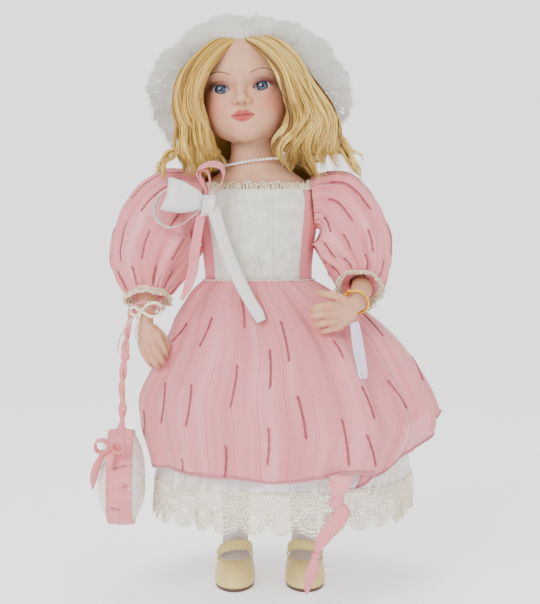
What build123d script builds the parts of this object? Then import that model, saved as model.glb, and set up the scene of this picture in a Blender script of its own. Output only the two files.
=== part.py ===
"""Porcelain doll with a stuffed cloth body, porcelain shoulder-head, forearms and lower legs, in a gathered
pink dress with a lace petticoat, a wide-brimmed soft hat, a small hanging bag and strapped shoes.

Millimetres, +Z up. The doll stands on z = 0 and faces -Y, so its right side is at -X.
The origin is on the floor, under the middle of the whole outline.
"""

import os
from math import cos, radians, sin

from build123d import *

os.makedirs("parts", exist_ok=True)

# ---------------------------------------------------------------- driving dimensions
GAP = 0.5  # clearance between neighbouring pieces
CLOTH = 1.2  # thickness of a dress fabric with its turnings
PORCELAIN = 3.2  # wall of the hollow castings

SOLE_TOP = 2.6
LEG_X = 27.5  # each leg's distance from the origin
HIP_Z = 158.0
SEAT_Z = 179.0  # underside of the stuffed body
WAIST_Z = 237.0
BODY_X = -10.0  # the upper body leans to the doll's right
SHOULDER_Z = 300.0
SHOULDER_X = 56.0  # each shoulder seam's distance from BODY_X

HEAD_CENTRE = (-19.0, 4.0, 391.0)
HEAD_TURN = (-6.0, -4.0, -6.0)  # chin up, crown to the doll's right, face to its right
EYE_X = 16.0
EYE_Z = -8.0
EYE_RADIUS = 8.6

HAT_CENTRE = (-16.0, 4.0, 377.5)  # middle of the crown's opening
HAT_LEAN = 62.0  # how far the hat's axis leans back from upright
CROWN_RADIUS = 54.0
CROWN_DEPTH = 66.0
CROWN_PROFILE = [(CROWN_RADIUS, 0), (52.5, 30), (43, 48), (26, 60), (0, CROWN_DEPTH)]  # radius, depth
BRIM_THICKNESS = 1.0
BRIM_RISE = 9.0  # how far the brim's outline lies above the crown's middle

HEAD = Plane(HEAD_CENTRE).rotated(HEAD_TURN)
HAT = Plane(
    origin=HAT_CENTRE,
    x_dir=(1, 0, 0),
    z_dir=(0, sin(radians(HAT_LEAN)), cos(radians(HAT_LEAN))),
)


def save(piece, name):
    """Labels a finished piece and writes it as one STEP file."""
    piece.part.label = name
    export_step(piece.part, f"parts/{name}.step")


def grown(sections, by):
    """The same (z, x, y, half width, half depth) sections, larger by that much all round."""
    return [(z, x, y, a + by, b + by) for z, x, y, a, b in sections]


def lofted(sections, ruled=False, base=Plane.XY):
    """A solid through ellipses, given as (z, x, y, half width, half depth) on the base plane."""
    with BuildPart() as piece:
        for z, x, y, a, b in sections:
            with BuildSketch(base.offset(z)):
                with Locations((x, y)):
                    Ellipse(a, b)
        loft(ruled=ruled)
    return piece


def lofted_shell(outer, inner, ruled=True, base=Plane.XY):
    """A tube or bell between two lofts; inner sections past the outer ones leave the ends open."""
    with BuildPart() as piece:
        for z, x, y, a, b in outer:
            with BuildSketch(base.offset(z)):
                with Locations((x, y)):
                    Ellipse(a, b)
        loft(ruled=ruled)
        for z, x, y, a, b in inner:
            with BuildSketch(base.offset(z)):
                with Locations((x, y)):
                    Ellipse(a, b)
        loft(ruled=ruled, mode=Mode.SUBTRACT)
    return piece


def open_ends(sections, by, past=1.0):
    """Inner sections for an open tube: smaller by that much, and running past both ends."""
    inner = grown(sections, -by)
    first, last = inner[0], inner[-1]
    step = past if last[0] > first[0] else -past
    return [(first[0] - step, *first[1:]), *inner[1:-1], (last[0] + step, *last[1:])]


def along(start, end, x_dir=None):
    """A plane at start whose normal points to end."""
    return Plane(origin=start, x_dir=x_dir, z_dir=Vector(end) - Vector(start))


# ---------------------------------------------------------------- stuffed body and shoulder-head
TORSO = [
    (SEAT_Z, -1, 1, 40, 29),
    (200, -4, 1, 42, 32),
    (WAIST_Z, -9, 1, 38, 27),
    (270, BODY_X, 2, 39, 26),
    (298, BODY_X, 2, 35, 20),
    (306, BODY_X, 2, 26, 16),
]
PLATE = [
    (290, BODY_X, 3, 45, 28),
    (304, BODY_X, 3, 45, 28),
    (314, BODY_X, 3, 41, 25),
    (322, -10.5, 3, 31, 21),
    (330, -11.5, 3, 21.5, 18.5),
    (339, -12.5, 3, 18.3, 17.6),
    (356, -15, 3, 18.3, 17.8),
]
SKULL = [
    (-48, 0, -15, 8, 7),
    (-44, 0, -13, 15, 13),
    (-37, 0, -9, 23, 23),
    (-26, 0, -3, 30, 33),
    (-12, 0, 1, 35, 38.5),
    (4, 0, 3, 37.5, 41.5),
    (18, 0, 3, 36, 40),
    (27, 0, 3, 30.5, 34.5),
]
CROWN_CUT = 27  # height of the skull's open rim, on the head's own axis
PATE = [
    (CROWN_CUT + 0.3, 0, 3, 30, 34),
    (33, 0, 3, 22.5, 26),
    (37, 0, 3, 13, 15),
    (38.6, 0, 3, 4, 5),
]


def make_torso():
    save(lofted(TORSO, ruled=True), "cloth_torso")


def make_shoulder_head():
    """Head, neck and shoulder plate are one hollow casting, open at the crown and at both eyes."""
    with BuildPart() as shoulder_head:
        for z, x, y, a, b in PLATE:
            with BuildSketch(Plane.XY.offset(z)):
                with Locations((x, y)):
                    Ellipse(a, b)
        loft(ruled=True)
        for z, x, y, a, b in SKULL:
            with BuildSketch(HEAD.offset(z)):
                with Locations((x, y)):
                    Ellipse(a, b)
        loft()
        with BuildSketch(Plane(HEAD.from_local_coords((0, -38, -18)), z_dir=HEAD.y_dir)):
            Circle(6)
        extrude(amount=8, taper=-20)
        for z, x, y, a, b in grown([(288, *PLATE[0][1:]), *PLATE[1:-1], (372, -15, 3, 18, 17.5)], -PORCELAIN):
            with BuildSketch(Plane.XY.offset(z)):
                with Locations((x, y)):
                    Ellipse(a, b)
        loft(ruled=True, mode=Mode.SUBTRACT)
        for z, x, y, a, b in [*grown(SKULL[3:-1], -PORCELAIN), (28, 0, 3, 27, 31)]:
            with BuildSketch(HEAD.offset(z)):
                with Locations((x, y)):
                    Ellipse(a, b)
        loft(mode=Mode.SUBTRACT)
        for side in (-1, 1):
            socket = Plane(HEAD.from_local_coords((side * EYE_X, -28, EYE_Z)), z_dir=-HEAD.y_dir)
            with BuildSketch(socket.offset(-8)):
                Circle(EYE_RADIUS + GAP)
            extrude(amount=26, mode=Mode.SUBTRACT)
    save(shoulder_head, "shoulder_head")


def make_pate():
    inner = [(CROWN_CUT - 1, 0, 3, 28, 32), *grown(PATE[1:-1], -2.0)]
    save(lofted_shell(PATE, inner, base=HEAD), "crown_pate")


def make_eyes():
    """Glass eyes are set in their sockets and held from inside by a lump of plaster."""
    for side, name in ((-1, "eye_right"), (1, "eye_left")):
        with BuildPart(HEAD) as eye:
            with Locations((side * EYE_X, -25.4, EYE_Z)):
                Sphere(EYE_RADIUS)
        save(eye, name)
    with BuildPart(HEAD) as plaster:
        for side in (-1, 1):
            with Locations((side * EYE_X, -12.0, EYE_Z)):
                Box(13, 8, 13)
        with Locations((0, -11.0, EYE_Z)):
            Box(2 * EYE_X, 6, 8)
    save(plaster, "eye_plaster")


def make_necklace():
    """A string of pearls lies round the foot of the neck, lower at the doll's right."""
    beads, half_width, half_depth, bead = 46, 27.0, 21.0, 1.35
    ring = Plane((-12.0, 3.0, 332.6)).rotated((4, -8, 0))
    with BuildPart(ring) as pearls:
        for i in range(beads):
            turn = 360 * i / beads
            with Locations((half_width * cos(radians(turn)), half_depth * sin(radians(turn)))):
                Sphere(bead)
    save(pearls, "pearl_necklace")


# ---------------------------------------------------------------- hat
def make_hat():
    """A soft crown over the back of the head, and a wide brim that frames the face."""
    with BuildPart(HAT) as crown:
        with BuildSketch(Plane(HAT.origin, x_dir=HAT.x_dir, z_dir=-HAT.y_dir)):
            with BuildLine():
                outer = Spline(*CROWN_PROFILE, tangents=((0, 1), (-1, 0)))
                inner = Spline(
                    *[(r - CLOTH, d - CLOTH * d / CROWN_DEPTH) for r, d in CROWN_PROFILE[:-1]],
                    (0, CROWN_DEPTH - CLOTH),
                    tangents=((0, 1), (-1, 0)),
                )
                Line(outer @ 1, inner @ 1)
                Line(outer @ 0, inner @ 0)
            make_face()
        revolve(axis=Axis(HAT.origin, HAT.z_dir))
    save(crown, "hat_crown")

    flare, edge = 8.0, 84.0
    with BuildPart(HAT) as brim:
        with BuildSketch(Plane(HAT.origin, x_dir=HAT.x_dir, z_dir=-HAT.y_dir)):
            with BuildLine():
                Polyline(
                    (CROWN_RADIUS - CLOTH, 0),
                    (edge, -flare),
                    (edge, -flare - BRIM_THICKNESS),
                    (CROWN_RADIUS - CLOTH, -BRIM_THICKNESS),
                    close=True,
                )
            make_face()
        revolve(axis=Axis(HAT.origin, HAT.z_dir))
        with BuildSketch(HAT.offset(-20)):
            with Locations((0, -BRIM_RISE)):
                Ellipse(80.5, 67)
        extrude(amount=40, mode=Mode.INTERSECT)
    save(brim, "hat_brim")


def hat_room():
    """The hat's own space and all beyond it, which the hair keeps clear of."""
    clear = 0.9
    with BuildPart() as room:
        with BuildSketch(Plane(HAT.origin, x_dir=HAT.x_dir, z_dir=-HAT.y_dir)):
            with BuildLine():
                crown = Spline(
                    *[(r - CLOTH - clear, d - clear) for r, d in CROWN_PROFILE[:-1]],
                    (0, CROWN_DEPTH - CLOTH - 1.5 * clear),
                    tangents=((0, 1), (-1, 0)),
                )
                Polyline(crown @ 1, (0, 90), (110, 90), (110, -19), (CROWN_RADIUS - CLOTH - clear, -2.2), crown @ 0)
            make_face()
        revolve(axis=Axis(HAT.origin, HAT.z_dir))
    return room.part


# ---------------------------------------------------------------- hair
HAIR_CAP = [
    (-30, 0, 2, 35, 37),
    (-12, 0, 3, 38.5, 41),
    (4, 0, 4, 41, 44.5),
    (18, 0, 4, 39, 43),
    (27, 0, 4, 35.5, 39.5),
    (35, 0, 3, 26, 30),
    (41.6, 0, 3, 12, 14),
]


def make_hair():
    """The wig: a cap on the skull, a long lock on each side of the face, and a fall down the back."""
    head_form = lofted(grown(SKULL, 0.5), base=HEAD).part
    pate_form = lofted(grown(PATE, 0.5), ruled=True, base=HEAD).part
    plate_form = lofted(grown(PLATE, 0.5), ruled=True).part
    room = hat_room()

    cap = lofted(HAIR_CAP, base=HEAD)
    with BuildPart() as hair_cap:
        add(cap.part)
        add(head_form, mode=Mode.SUBTRACT)
        add(pate_form, mode=Mode.SUBTRACT)
        hairline = Plane(
            HEAD.from_local_coords((0, -21, 26)),
            x_dir=HEAD.x_dir,
            z_dir=HEAD.y_dir * 0.92 + HEAD.z_dir * 0.39,
        )
        with BuildSketch(hairline):
            Rectangle(120, 160)
        extrude(amount=-60, mode=Mode.SUBTRACT)
        add(room, mode=Mode.SUBTRACT)

    locks = {
        "hair_lock_right": [
            (331, -50, -8, 19, 10),
            (345, -56, -10, 20, 13),
            (365, -61, -12, 16, 14),
            (385, -60, -15, 15, 14),
            (402, -50, -22, 17, 12),
            (416, -38, -28, 15, 9),
            (424, -29, -31, 9, 4),
        ],
        "hair_lock_left": [
            (331, 36, -4, 18, 12),
            (345, 36, -6, 22, 14),
            (365, 34, -10, 22, 15),
            (385, 30, -14, 20, 15),
            (402, 21, -22, 19, 12),
            (416, 6, -29, 16, 9),
            (424, -5, -32, 9, 4),
        ],
    }
    for name, sections in locks.items():
        wave = lofted(sections).part
        with BuildPart() as lock:
            add(wave)
            for neighbour in (head_form, plate_form, room, hair_cap.part):
                add(neighbour, mode=Mode.SUBTRACT)
        biggest = lock.part.solids().sort_by(SortBy.VOLUME)[-1]
        with BuildPart() as kept:
            add(biggest)
        save(kept, name)

    fall = [(286, BODY_X, 42.5, 34, 3.5), (306, BODY_X, 42, 36, 3.5), (316, BODY_X, 38.5, 34, 2.4)]
    fall_clear = lofted(fall, ruled=True).part - room
    with BuildPart() as wig:
        add(hair_cap.part)
        add(fall_clear)
    save(wig, "hair_cap")


# ---------------------------------------------------------------- dress
BODICE = [
    (WAIST_Z + 1, -9, 2, 41.5, 30.5),
    (262, -9.5, 2, 43, 31),
    (290, BODY_X, 3, 47.2, 30.8),
    (307, BODY_X, 3, 47.2, 30.8),
]
SKIRT = [
    (WAIST_Z, -9, 1, 43, 33),
    (214, 2, 0, 75, 54),
    (190, 9, 0, 91, 74),
    (149, 12, 0, 116, 98),
    (130, 16, 0, 119, 104),
    (97, 13, 0, 106, 108),
]
SKIRT_LIFT = [(60, 97), (140, 136)]  # (x, z) of the hem's rise towards the doll's left
PETTICOAT = [
    (226, -7, 0, 44, 35),
    (200, -3, 0, 60, 56),
    (165, 2, 0, 77, 75),
    (125, 9, 0, 93, 90),
    (84, 10, 0, 100, 96),
]
LACE_HEM = [(83.6, 10, 0, 100, 96), (54, 8, 0, 100, 97)]
PANELS = 12


def make_bodice():
    save(lofted_shell(BODICE, open_ends(BODICE, CLOTH)), "dress_bodice")
    front = grown(BODICE, 1.6)
    inner = open_ends(grown(BODICE, 0.4), 0.0)
    with BuildPart() as lace_panel:
        add(lofted_shell(front, inner).part)
        with Locations((BODY_X, -30, 270)):
            Box(76, 48, 90, mode=Mode.INTERSECT)
    save(lace_panel, "bodice_lace_panel")
    neckline = [(307.6, BODY_X, 3, 47, 30.6), (313, BODY_X, 3, 47.6, 31.2)]
    with BuildPart() as trim:
        add(lofted_shell(neckline, open_ends(neckline, 1.0)).part)
    save(trim, "neckline_lace")
    with BuildPart() as closure:
        with Locations((BODY_X, 35.6, 272)):
            Box(8, 1.2, 60)
        with Locations((BODY_X, 37.2, 272)):
            Box(8, 1.2, 60)
    save(closure, "back_closure")


def make_bell(name, sections, thickness, lift=(), tiers=()):
    """A gathered bell of cloth, made of panels in tiers that meet edge to edge, open above and below."""
    reach, seam = 320.0, 0.05
    middle = (sections[-1][1] * 0.2, 0)
    shell = lofted_shell(sections, open_ends(sections, thickness)).part
    with BuildPart() as bell:
        add(shell)
        for height in tiers:
            with Locations((0, 0, height)):
                Box(reach, reach, seam, mode=Mode.SUBTRACT)
        with BuildSketch():
            for i in range(PANELS):
                turn = 360 * (i + 0.5) / PANELS
                with Locations(Location((*middle, 0), (0, 0, turn))):
                    with Locations((reach / 2, 0)):
                        Rectangle(reach, seam)
        extrude(amount=400, mode=Mode.SUBTRACT)
        if lift:
            with BuildSketch(Plane.XZ):
                with BuildLine():
                    Polyline(*lift, (lift[-1][0], 40), (lift[0][0], 40), close=True)
                make_face()
            extrude(amount=reach, both=True, mode=Mode.SUBTRACT)
    save(bell, name)


def make_skirts():
    make_bell("skirt", SKIRT, CLOTH, lift=SKIRT_LIFT, tiers=(160,))
    make_bell("petticoat", PETTICOAT, 0.9, tiers=(150,))
    make_bell("petticoat_lace", LACE_HEM, 0.9)
    band = [(227, -8, 1, 42.2, 31.5), (235, -8.8, 1, 41.0, 30.0)]
    save(lofted_shell(band, open_ends(band, 1.2)), "petticoat_waistband")


def make_sash():
    """A knotted sash of the dress fabric hangs from the skirt's hem to just above the floor."""
    knot = (48, -99, 82)
    tail = [
        (99, 50, -105, 6, 1.2),
        (90, 49, -102, 4, 1.6),
        (82, 48, -99, 3, 2.0),
        (70, 44, -98, 8, 1.6),
        (56, 36, -97, 3, 1.4),
        (36, 34, -94, 6, 1.4),
        (20, 33, -93, 5, 1.2),
        (10, 32, -92, 2, 0.8),
    ]
    tail_form = lofted(tail, ruled=True).part
    with BuildPart() as sash:
        add(tail_form)
        with Locations(knot):
            Sphere(5.0)
    save(sash, "sash_tail")


def make_bow():
    """Ribbon loops are sewn to the right of the neckline, with one long tail down the front."""
    with BuildPart() as white_bow:
        with Locations(Plane((-64, -39.5, 296)).rotated((0, 12, 0))):
            Box(28, 5, 24)
    save(white_bow, "ribbon_bow_white")
    with BuildPart() as pink_bow:
        with Locations(Plane((-44, -38.4, 321)).rotated((0, -20, 0))):
            Box(17, 4, 15)
    save(pink_bow, "ribbon_bow_pink")
    tail = [(304, -42, -37.6), (270, -35, -37.4), (242, -24, -38.2), (228, -16, -49), (212, -7, -60)]
    with BuildPart() as ribbon_tail:
        for z, x, y in tail:
            with BuildSketch(Plane((x, y, z))):
                Rectangle(9, 1.0)
        loft(ruled=True)
    save(ribbon_tail, "ribbon_tail_white")


# ---------------------------------------------------------------- arms
ARMS = {
    "right": {
        "side": -1,
        "elbow": (-93, -13, 248),
        "wrist": (-95, -33, 213),
        "tip": (-87, -39, 179),
        "across": (0.35, -0.9, 0.1),
        "sleeve": [
            ((-58.3, 2, 298), (-1, 0, 0), 21),
            ((-74, 1, 293), (-0.85, 0, -0.5), 29.5),
            ((-87, -3, 270), (-0.25, -0.1, -1), 33),
            ((-92, -10, 247), (-0.05, -0.3, -1), 27),
            ((-94, -22, 230), (0, -0.5, -1), 15),
        ],
    },
    "left": {
        "side": 1,
        "elbow": (72, -10, 240),
        "wrist": (64, -55, 222),
        "tip": (34, -69, 203),
        "across": (0.1, -0.3, 1),
        "sleeve": [
            ((38.3, 2, 298), (1, 0, 0), 21),
            ((52, 1, 293), (0.85, 0, -0.5), 28),
            ((64, -3, 270), (0.25, -0.1, -1), 27.5),
            ((68, -9, 252), (0.1, -0.4, -1), 24),
            ((70, -23, 236), (-0.1, -0.8, -0.6), 15),
        ],
    },
}
ARM_RADIUS = 8.0
WRIST_RADIUS = 6.2


def make_arm(name, arm):
    """A stuffed upper arm with a bending wire in it, and a hollow-ended porcelain forearm and hand."""
    shoulder = (BODY_X + arm["side"] * SHOULDER_X, 2, SHOULDER_Z)
    upper = along(shoulder, arm["elbow"])
    upper_length = (Vector(arm["elbow"]) - Vector(shoulder)).length
    wire_radius = 0.9
    with BuildPart(upper) as upper_arm:
        Sphere(ARM_RADIUS)
        Cylinder(ARM_RADIUS, upper_length - 9, align=(Align.CENTER, Align.CENTER, Align.MIN))
        Cylinder(wire_radius, upper_length, align=(Align.CENTER, Align.CENTER, Align.MIN), mode=Mode.SUBTRACT)
    save(upper_arm, f"upper_arm_{name}")
    with BuildPart(upper) as wire:
        Cylinder(wire_radius, upper_length - 12, align=(Align.CENTER, Align.CENTER, Align.MIN))
    save(wire, f"arm_wire_{name}")

    lower = along(arm["elbow"], arm["wrist"])
    lower_length = (Vector(arm["wrist"]) - Vector(arm["elbow"])).length
    hand = along(arm["wrist"], arm["tip"], x_dir=arm["across"])
    finger_length, finger_radius = 14, 1.9
    with BuildPart() as forearm:
        with BuildSketch(lower):
            Circle(ARM_RADIUS)
        with BuildSketch(lower.offset(lower_length)):
            Circle(WRIST_RADIUS)
        loft()
        with BuildSketch(hand.offset(-2)):
            Ellipse(WRIST_RADIUS, 5.4)
        with BuildSketch(hand.offset(8)):
            Ellipse(8.4, 4.6)
        with BuildSketch(hand.offset(18)):
            Ellipse(8.2, 3.6)
        loft()
        for i in range(4):
            reach = finger_length - abs(i - 1.3) * 1.6
            with BuildSketch(hand.offset(15)):
                with Locations((4.1 * (i - 1.5), 0)):
                    Circle(finger_radius)
            extrude(amount=reach)
            with Locations(Plane(hand.from_local_coords((4.1 * (i - 1.5), 0, 15 + reach)))):
                Sphere(finger_radius)
        thumb = Plane(
            hand.from_local_coords((-7, -1, 5)),
            z_dir=hand.z_dir * 0.9 - hand.x_dir * 0.45,
        )
        with BuildSketch(thumb):
            Circle(2.2)
        extrude(amount=11)
    save(forearm, f"forearm_{name}")

    tie = along(arm["elbow"], shoulder)
    with BuildPart(tie) as arm_tie:
        with BuildSketch(tie.offset(11)):
            Circle(ARM_RADIUS + 1.3)
            Circle(ARM_RADIUS + 0.1, mode=Mode.SUBTRACT)
        extrude(amount=2.5)
    save(arm_tie, f"arm_tie_{name}")

    with BuildPart() as sleeve:
        for origin, normal, radius in arm["sleeve"]:
            with BuildSketch(Plane(origin, x_dir=(0, 1, 0), z_dir=normal)):
                Circle(radius)
        loft()
        stretched = [
            (tuple(Vector(o) + Vector(n).normalized() * move), n, r - CLOTH)
            for (o, n, r), move in zip(arm["sleeve"], (-0.5, 0, 0, 0, 0.5))
        ]
        for origin, normal, radius in stretched:
            with BuildSketch(Plane(origin, x_dir=(0, 1, 0), z_dir=normal)):
                Circle(radius)
        loft(mode=Mode.SUBTRACT)
    save(sleeve, f"sleeve_{name}")

    origin, normal, radius = arm["sleeve"][-1]
    with BuildPart() as cuff:
        with BuildSketch(Plane(origin, z_dir=normal).offset(0.4)):
            Circle(radius + 1.5)
            Circle(radius - 1.2, mode=Mode.SUBTRACT)
        extrude(amount=5)
    save(cuff, f"cuff_lace_{name}")


def make_wrist_pieces():
    """A cream ribbon tied round the right wrist, a gilt bangle and a hanging ribbon loop on the left."""
    right, left = ARMS["right"], ARMS["left"]
    band = along(right["wrist"], right["elbow"])
    with BuildPart() as wrist_ribbon:
        with BuildSketch(band.offset(9)):
            Circle(WRIST_RADIUS + 2.4)
            Circle(WRIST_RADIUS + 1.2, mode=Mode.SUBTRACT)
        extrude(amount=2)
        with Locations((-95, -36.8, 225)):
            Box(10, 1.0, 5)
    save(wrist_ribbon, "wrist_ribbon_right")

    bangle = along(left["wrist"], left["elbow"])
    with BuildPart() as gilt:
        with BuildSketch(Plane(bangle.from_local_coords((9.2, 0, 3)), x_dir=bangle.x_dir, z_dir=bangle.y_dir)):
            Circle(1.1)
        revolve(axis=Axis(bangle.offset(3).origin, bangle.z_dir))
    save(gilt, "bangle_left")

    loop = [(208, 64, -68), (190, 65, -72), (170, 67, -79)]
    with BuildPart() as ribbon_loop:
        for z, x, y in loop:
            with BuildSketch(Plane((x, y, z))):
                Rectangle(8, 1.0)
        loft(ruled=True)
    save(ribbon_loop, "ribbon_loop_left")


# ---------------------------------------------------------------- legs and shoes
FOOT = [
    (3.2, 0, -12, 10.5, 25),
    (9, 0, -11, 11, 25),
    (16, 0, -4.5, 10.5, 18.5),
    (23, 0, 2.5, 9.5, 11.5),
    (34, 0, 4.5, 8.6, 9),
    (52, 0, 5, 9.4, 10),
    (72, 0, 4.5, 11, 11.5),
    (96, 0, 4, 11.5, 12),
]
SHOE = [
    (SOLE_TOP + 0.2, 0, -12.5, 15.5, 31),
    (9, 0, -12, 15.8, 30.5),
    (16, 0, -8, 15, 26),
    (25, 0, 1, 13, 17.5),
]


def placed(sections, x):
    return [(z, sx + x, sy, a, b) for z, sx, sy, a, b in sections]


def make_leg(name, x):
    """Stuffed thigh, hollow porcelain shin and foot, sock, shoe with a strap, and half the drawers."""
    hip_radius, knee_radius = 18.5, 12.2
    with BuildPart() as thigh:
        with Locations((x * 0.93, 1, HIP_Z)):
            Sphere(hip_radius)
        with BuildSketch(Plane.XY.offset(HIP_Z)):
            with Locations((x * 0.93, 1)):
                Circle(hip_radius - 0.6)
        with BuildSketch(Plane.XY.offset(98.5)):
            with Locations((x, 4)):
                Circle(knee_radius)
        loft()
    save(thigh, f"thigh_{name}")

    shin_sections = placed(FOOT, x)
    shin_form = lofted(shin_sections, ruled=True).part
    with BuildPart() as shin:
        add(shin_form)
        with Locations((x, 4, 62)):
            Cone(6.5, 9.0, 40, align=(Align.CENTER, Align.CENTER, Align.MIN), mode=Mode.SUBTRACT)
    save(shin, f"shin_{name}")

    tie = Plane((x, 4, 99))
    with BuildPart(tie) as leg_tie:
        with BuildSketch(tie.offset(0.4)):
            Circle(15.2)
            Circle(13.9, mode=Mode.SUBTRACT)
        extrude(amount=2.5)
    save(leg_tie, f"leg_tie_{name}")

    sock_outer = [(z, sx, sy, a + 1.3, b + 1.3) for z, sx, sy, a, b in shin_sections[2:6]]
    sock_inner = [(z, sx, sy, a + 0.4, b + 0.4) for z, sx, sy, a, b in shin_sections[1:]]
    sock_form = lofted(sock_outer, ruled=True).part
    sock_room = lofted(sock_inner, ruled=True).part
    with BuildPart() as sock:
        add(sock_form)
        add(sock_room, mode=Mode.SUBTRACT)
        add(shin_form, mode=Mode.SUBTRACT)
    save(sock, f"sock_{name}")

    with BuildPart() as sole:
        with BuildSketch():
            with Locations((x, -13)):
                Ellipse(15, 31)
        extrude(amount=SOLE_TOP)
    save(sole, f"shoe_sole_{name}")

    shoe_sections = placed(SHOE, x)
    shoe_form = lofted(shoe_sections, ruled=True).part
    foot_room = lofted(grown(shin_sections, 1.9), ruled=True).part
    with BuildPart() as upper:
        add(shoe_form)
        add(foot_room, mode=Mode.SUBTRACT)
        add(shin_form, mode=Mode.SUBTRACT)
        with Locations((x, -16, 21)):
            Box(21, 15, 16, mode=Mode.SUBTRACT)
    save(upper, f"shoe_upper_{name}")

    strap_radius, strap_width = 15.4, 7.0
    with BuildPart() as strap:
        with BuildSketch(Plane((x, -3, 27), x_dir=(1, 0, 0), z_dir=(0, -1, -0.35))):
            Circle(strap_radius)
            Circle(strap_radius - 1.0, mode=Mode.SUBTRACT)
            with Locations((0, -14)):
                Rectangle(40, 24, mode=Mode.SUBTRACT)
        extrude(amount=strap_width)
    save(strap, f"shoe_strap_{name}")

    drawers = [(104, x, 3.5, 17.5, 17.5), (128, x, 2.5, 19.5, 19.5), (140, x * 0.95, 1.5, 21, 21)]
    save(lofted_shell(drawers, open_ends(drawers, 1.0)), f"drawers_{name}")


# ---------------------------------------------------------------- bag
BAG_X, BAG_Y, BAG_Z = -113.0, -45.0, 88.0
BAG_RISE, BAG_DROP = 36.0, 33.0  # from its middle to its top and to its bottom


def pouch_outline(shrink):
    """The pouch in side view, about its own middle: narrow at the top and round below."""
    with BuildSketch() as outline:
        with BuildLine():
            Spline(
                (5 - shrink, BAG_RISE - shrink),
                (19 - shrink, 12),
                (23 - shrink, -12),
                (14 - shrink * 0.7, -BAG_DROP + 4 + shrink * 0.8),
                (0, -BAG_DROP + shrink),
            )
            mirror(about=Plane.YZ)
            Line((-5 + shrink, BAG_RISE - shrink), (5 - shrink, BAG_RISE - shrink))
        make_face()
    return outline.sketch


def make_bag():
    """A small pouch: a pink band runs round its edge between two cream sides, and it hangs by a strap."""
    band_width, wall = 15.0, 1.5
    middle = Plane((BAG_X, BAG_Y, BAG_Z), x_dir=(0, 1, 0), z_dir=(1, 0, 0))
    with BuildPart() as bag_band:
        with BuildSketch(middle):
            add(pouch_outline(0))
            add(pouch_outline(wall), mode=Mode.SUBTRACT)
        extrude(amount=band_width / 2, both=True)
    save(bag_band, "bag_band")
    with BuildPart() as filling:
        with BuildSketch(middle):
            add(pouch_outline(wall + 0.4))
        extrude(amount=band_width / 2 - 0.3, both=True)
    save(filling, "bag_filling")
    with BuildPart() as sides:
        for side in (-1, 1):
            for size, out in ((0.985, 0.1), (0.9, 5.0), (0.6, 7.5)):
                with BuildSketch(middle.offset(side * (band_width / 2 + out))):
                    add(scale(pouch_outline(0), by=size, mode=Mode.PRIVATE))
            loft()
    save(sides, "bag_sides")
    with BuildPart() as bow:
        with Locations((BAG_X - 8, BAG_Y - 23.5, 114)):
            Box(18, 5, 13)
        with Locations((BAG_X - 18.6, BAG_Y - 10, 96)):
            Box(6, 12, 30)
    save(bow, "bag_bow")
    loop_radius = 11.0
    grip = along(ARMS["right"]["wrist"], ARMS["right"]["elbow"]).offset(4.5)
    side = Plane(grip.origin - Vector(loop_radius, 0, 0), x_dir=(1, 0, 0), z_dir=(0, 1, 0))
    with BuildPart() as strap:
        with BuildSketch(side):
            Circle(1.2)
        revolve(axis=Axis(grip.origin, grip.z_dir))
        with BuildSketch(Plane((BAG_X, BAG_Y, BAG_Z + BAG_RISE + 0.3))):
            Ellipse(4, 2)
        with BuildSketch(Plane(side.origin - Vector(1.6, 0, 0))):
            Ellipse(2.2, 1.4)
        loft()
    save(strap, "bag_strap")


# ---------------------------------------------------------------- assembly
make_torso()
make_shoulder_head()
make_pate()
make_eyes()
make_necklace()
make_hat()
make_hair()
make_bodice()
make_skirts()
make_sash()
make_bow()
for side_name, arm_shape in ARMS.items():
    make_arm(side_name, arm_shape)
make_wrist_pieces()
make_leg("right", -LEG_X)
make_leg("left", LEG_X)
make_bag()
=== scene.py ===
"""Visual model of a porcelain doll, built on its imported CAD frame.

Lengths are in millimetres until a mesh is made, when they become Blender's metres.
The doll stands on z = 0 and faces -Y, so its right side is at -X.
"""

import math

import bpy
import numpy as np
from mathutils import Euler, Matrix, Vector
from mathutils.bvhtree import BVHTree


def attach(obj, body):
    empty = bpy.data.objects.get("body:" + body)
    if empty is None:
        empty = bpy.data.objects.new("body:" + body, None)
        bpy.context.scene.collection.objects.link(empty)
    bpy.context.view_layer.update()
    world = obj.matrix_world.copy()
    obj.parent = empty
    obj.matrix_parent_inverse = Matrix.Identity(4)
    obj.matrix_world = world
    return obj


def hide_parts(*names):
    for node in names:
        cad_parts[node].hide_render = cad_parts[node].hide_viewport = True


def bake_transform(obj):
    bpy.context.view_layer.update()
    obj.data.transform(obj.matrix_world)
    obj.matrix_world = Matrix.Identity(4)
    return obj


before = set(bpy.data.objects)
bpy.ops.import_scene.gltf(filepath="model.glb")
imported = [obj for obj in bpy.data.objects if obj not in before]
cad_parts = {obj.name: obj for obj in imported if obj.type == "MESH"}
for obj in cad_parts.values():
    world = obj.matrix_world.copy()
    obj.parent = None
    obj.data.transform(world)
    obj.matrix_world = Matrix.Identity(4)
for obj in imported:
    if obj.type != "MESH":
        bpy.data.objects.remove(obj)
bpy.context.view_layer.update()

MM = 0.001
TAU = 2 * math.pi
UP = np.array((0.0, 0.0, 1.0))


# ---------------------------------------------------------------- camera, floor and light
CAMERA_DISTANCE = 1100.0  # in front of y = 0
CAMERA_HEIGHT = 270.0
VIEW_HEIGHT_MM = 477.0  # what the frame's height covers at y = 0
AIM_Z = 221.0
SENSOR_WIDTH = 36.0
LIGHTS_AIM_AT = Vector((0, 0, 0.22))  # in metres


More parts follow.
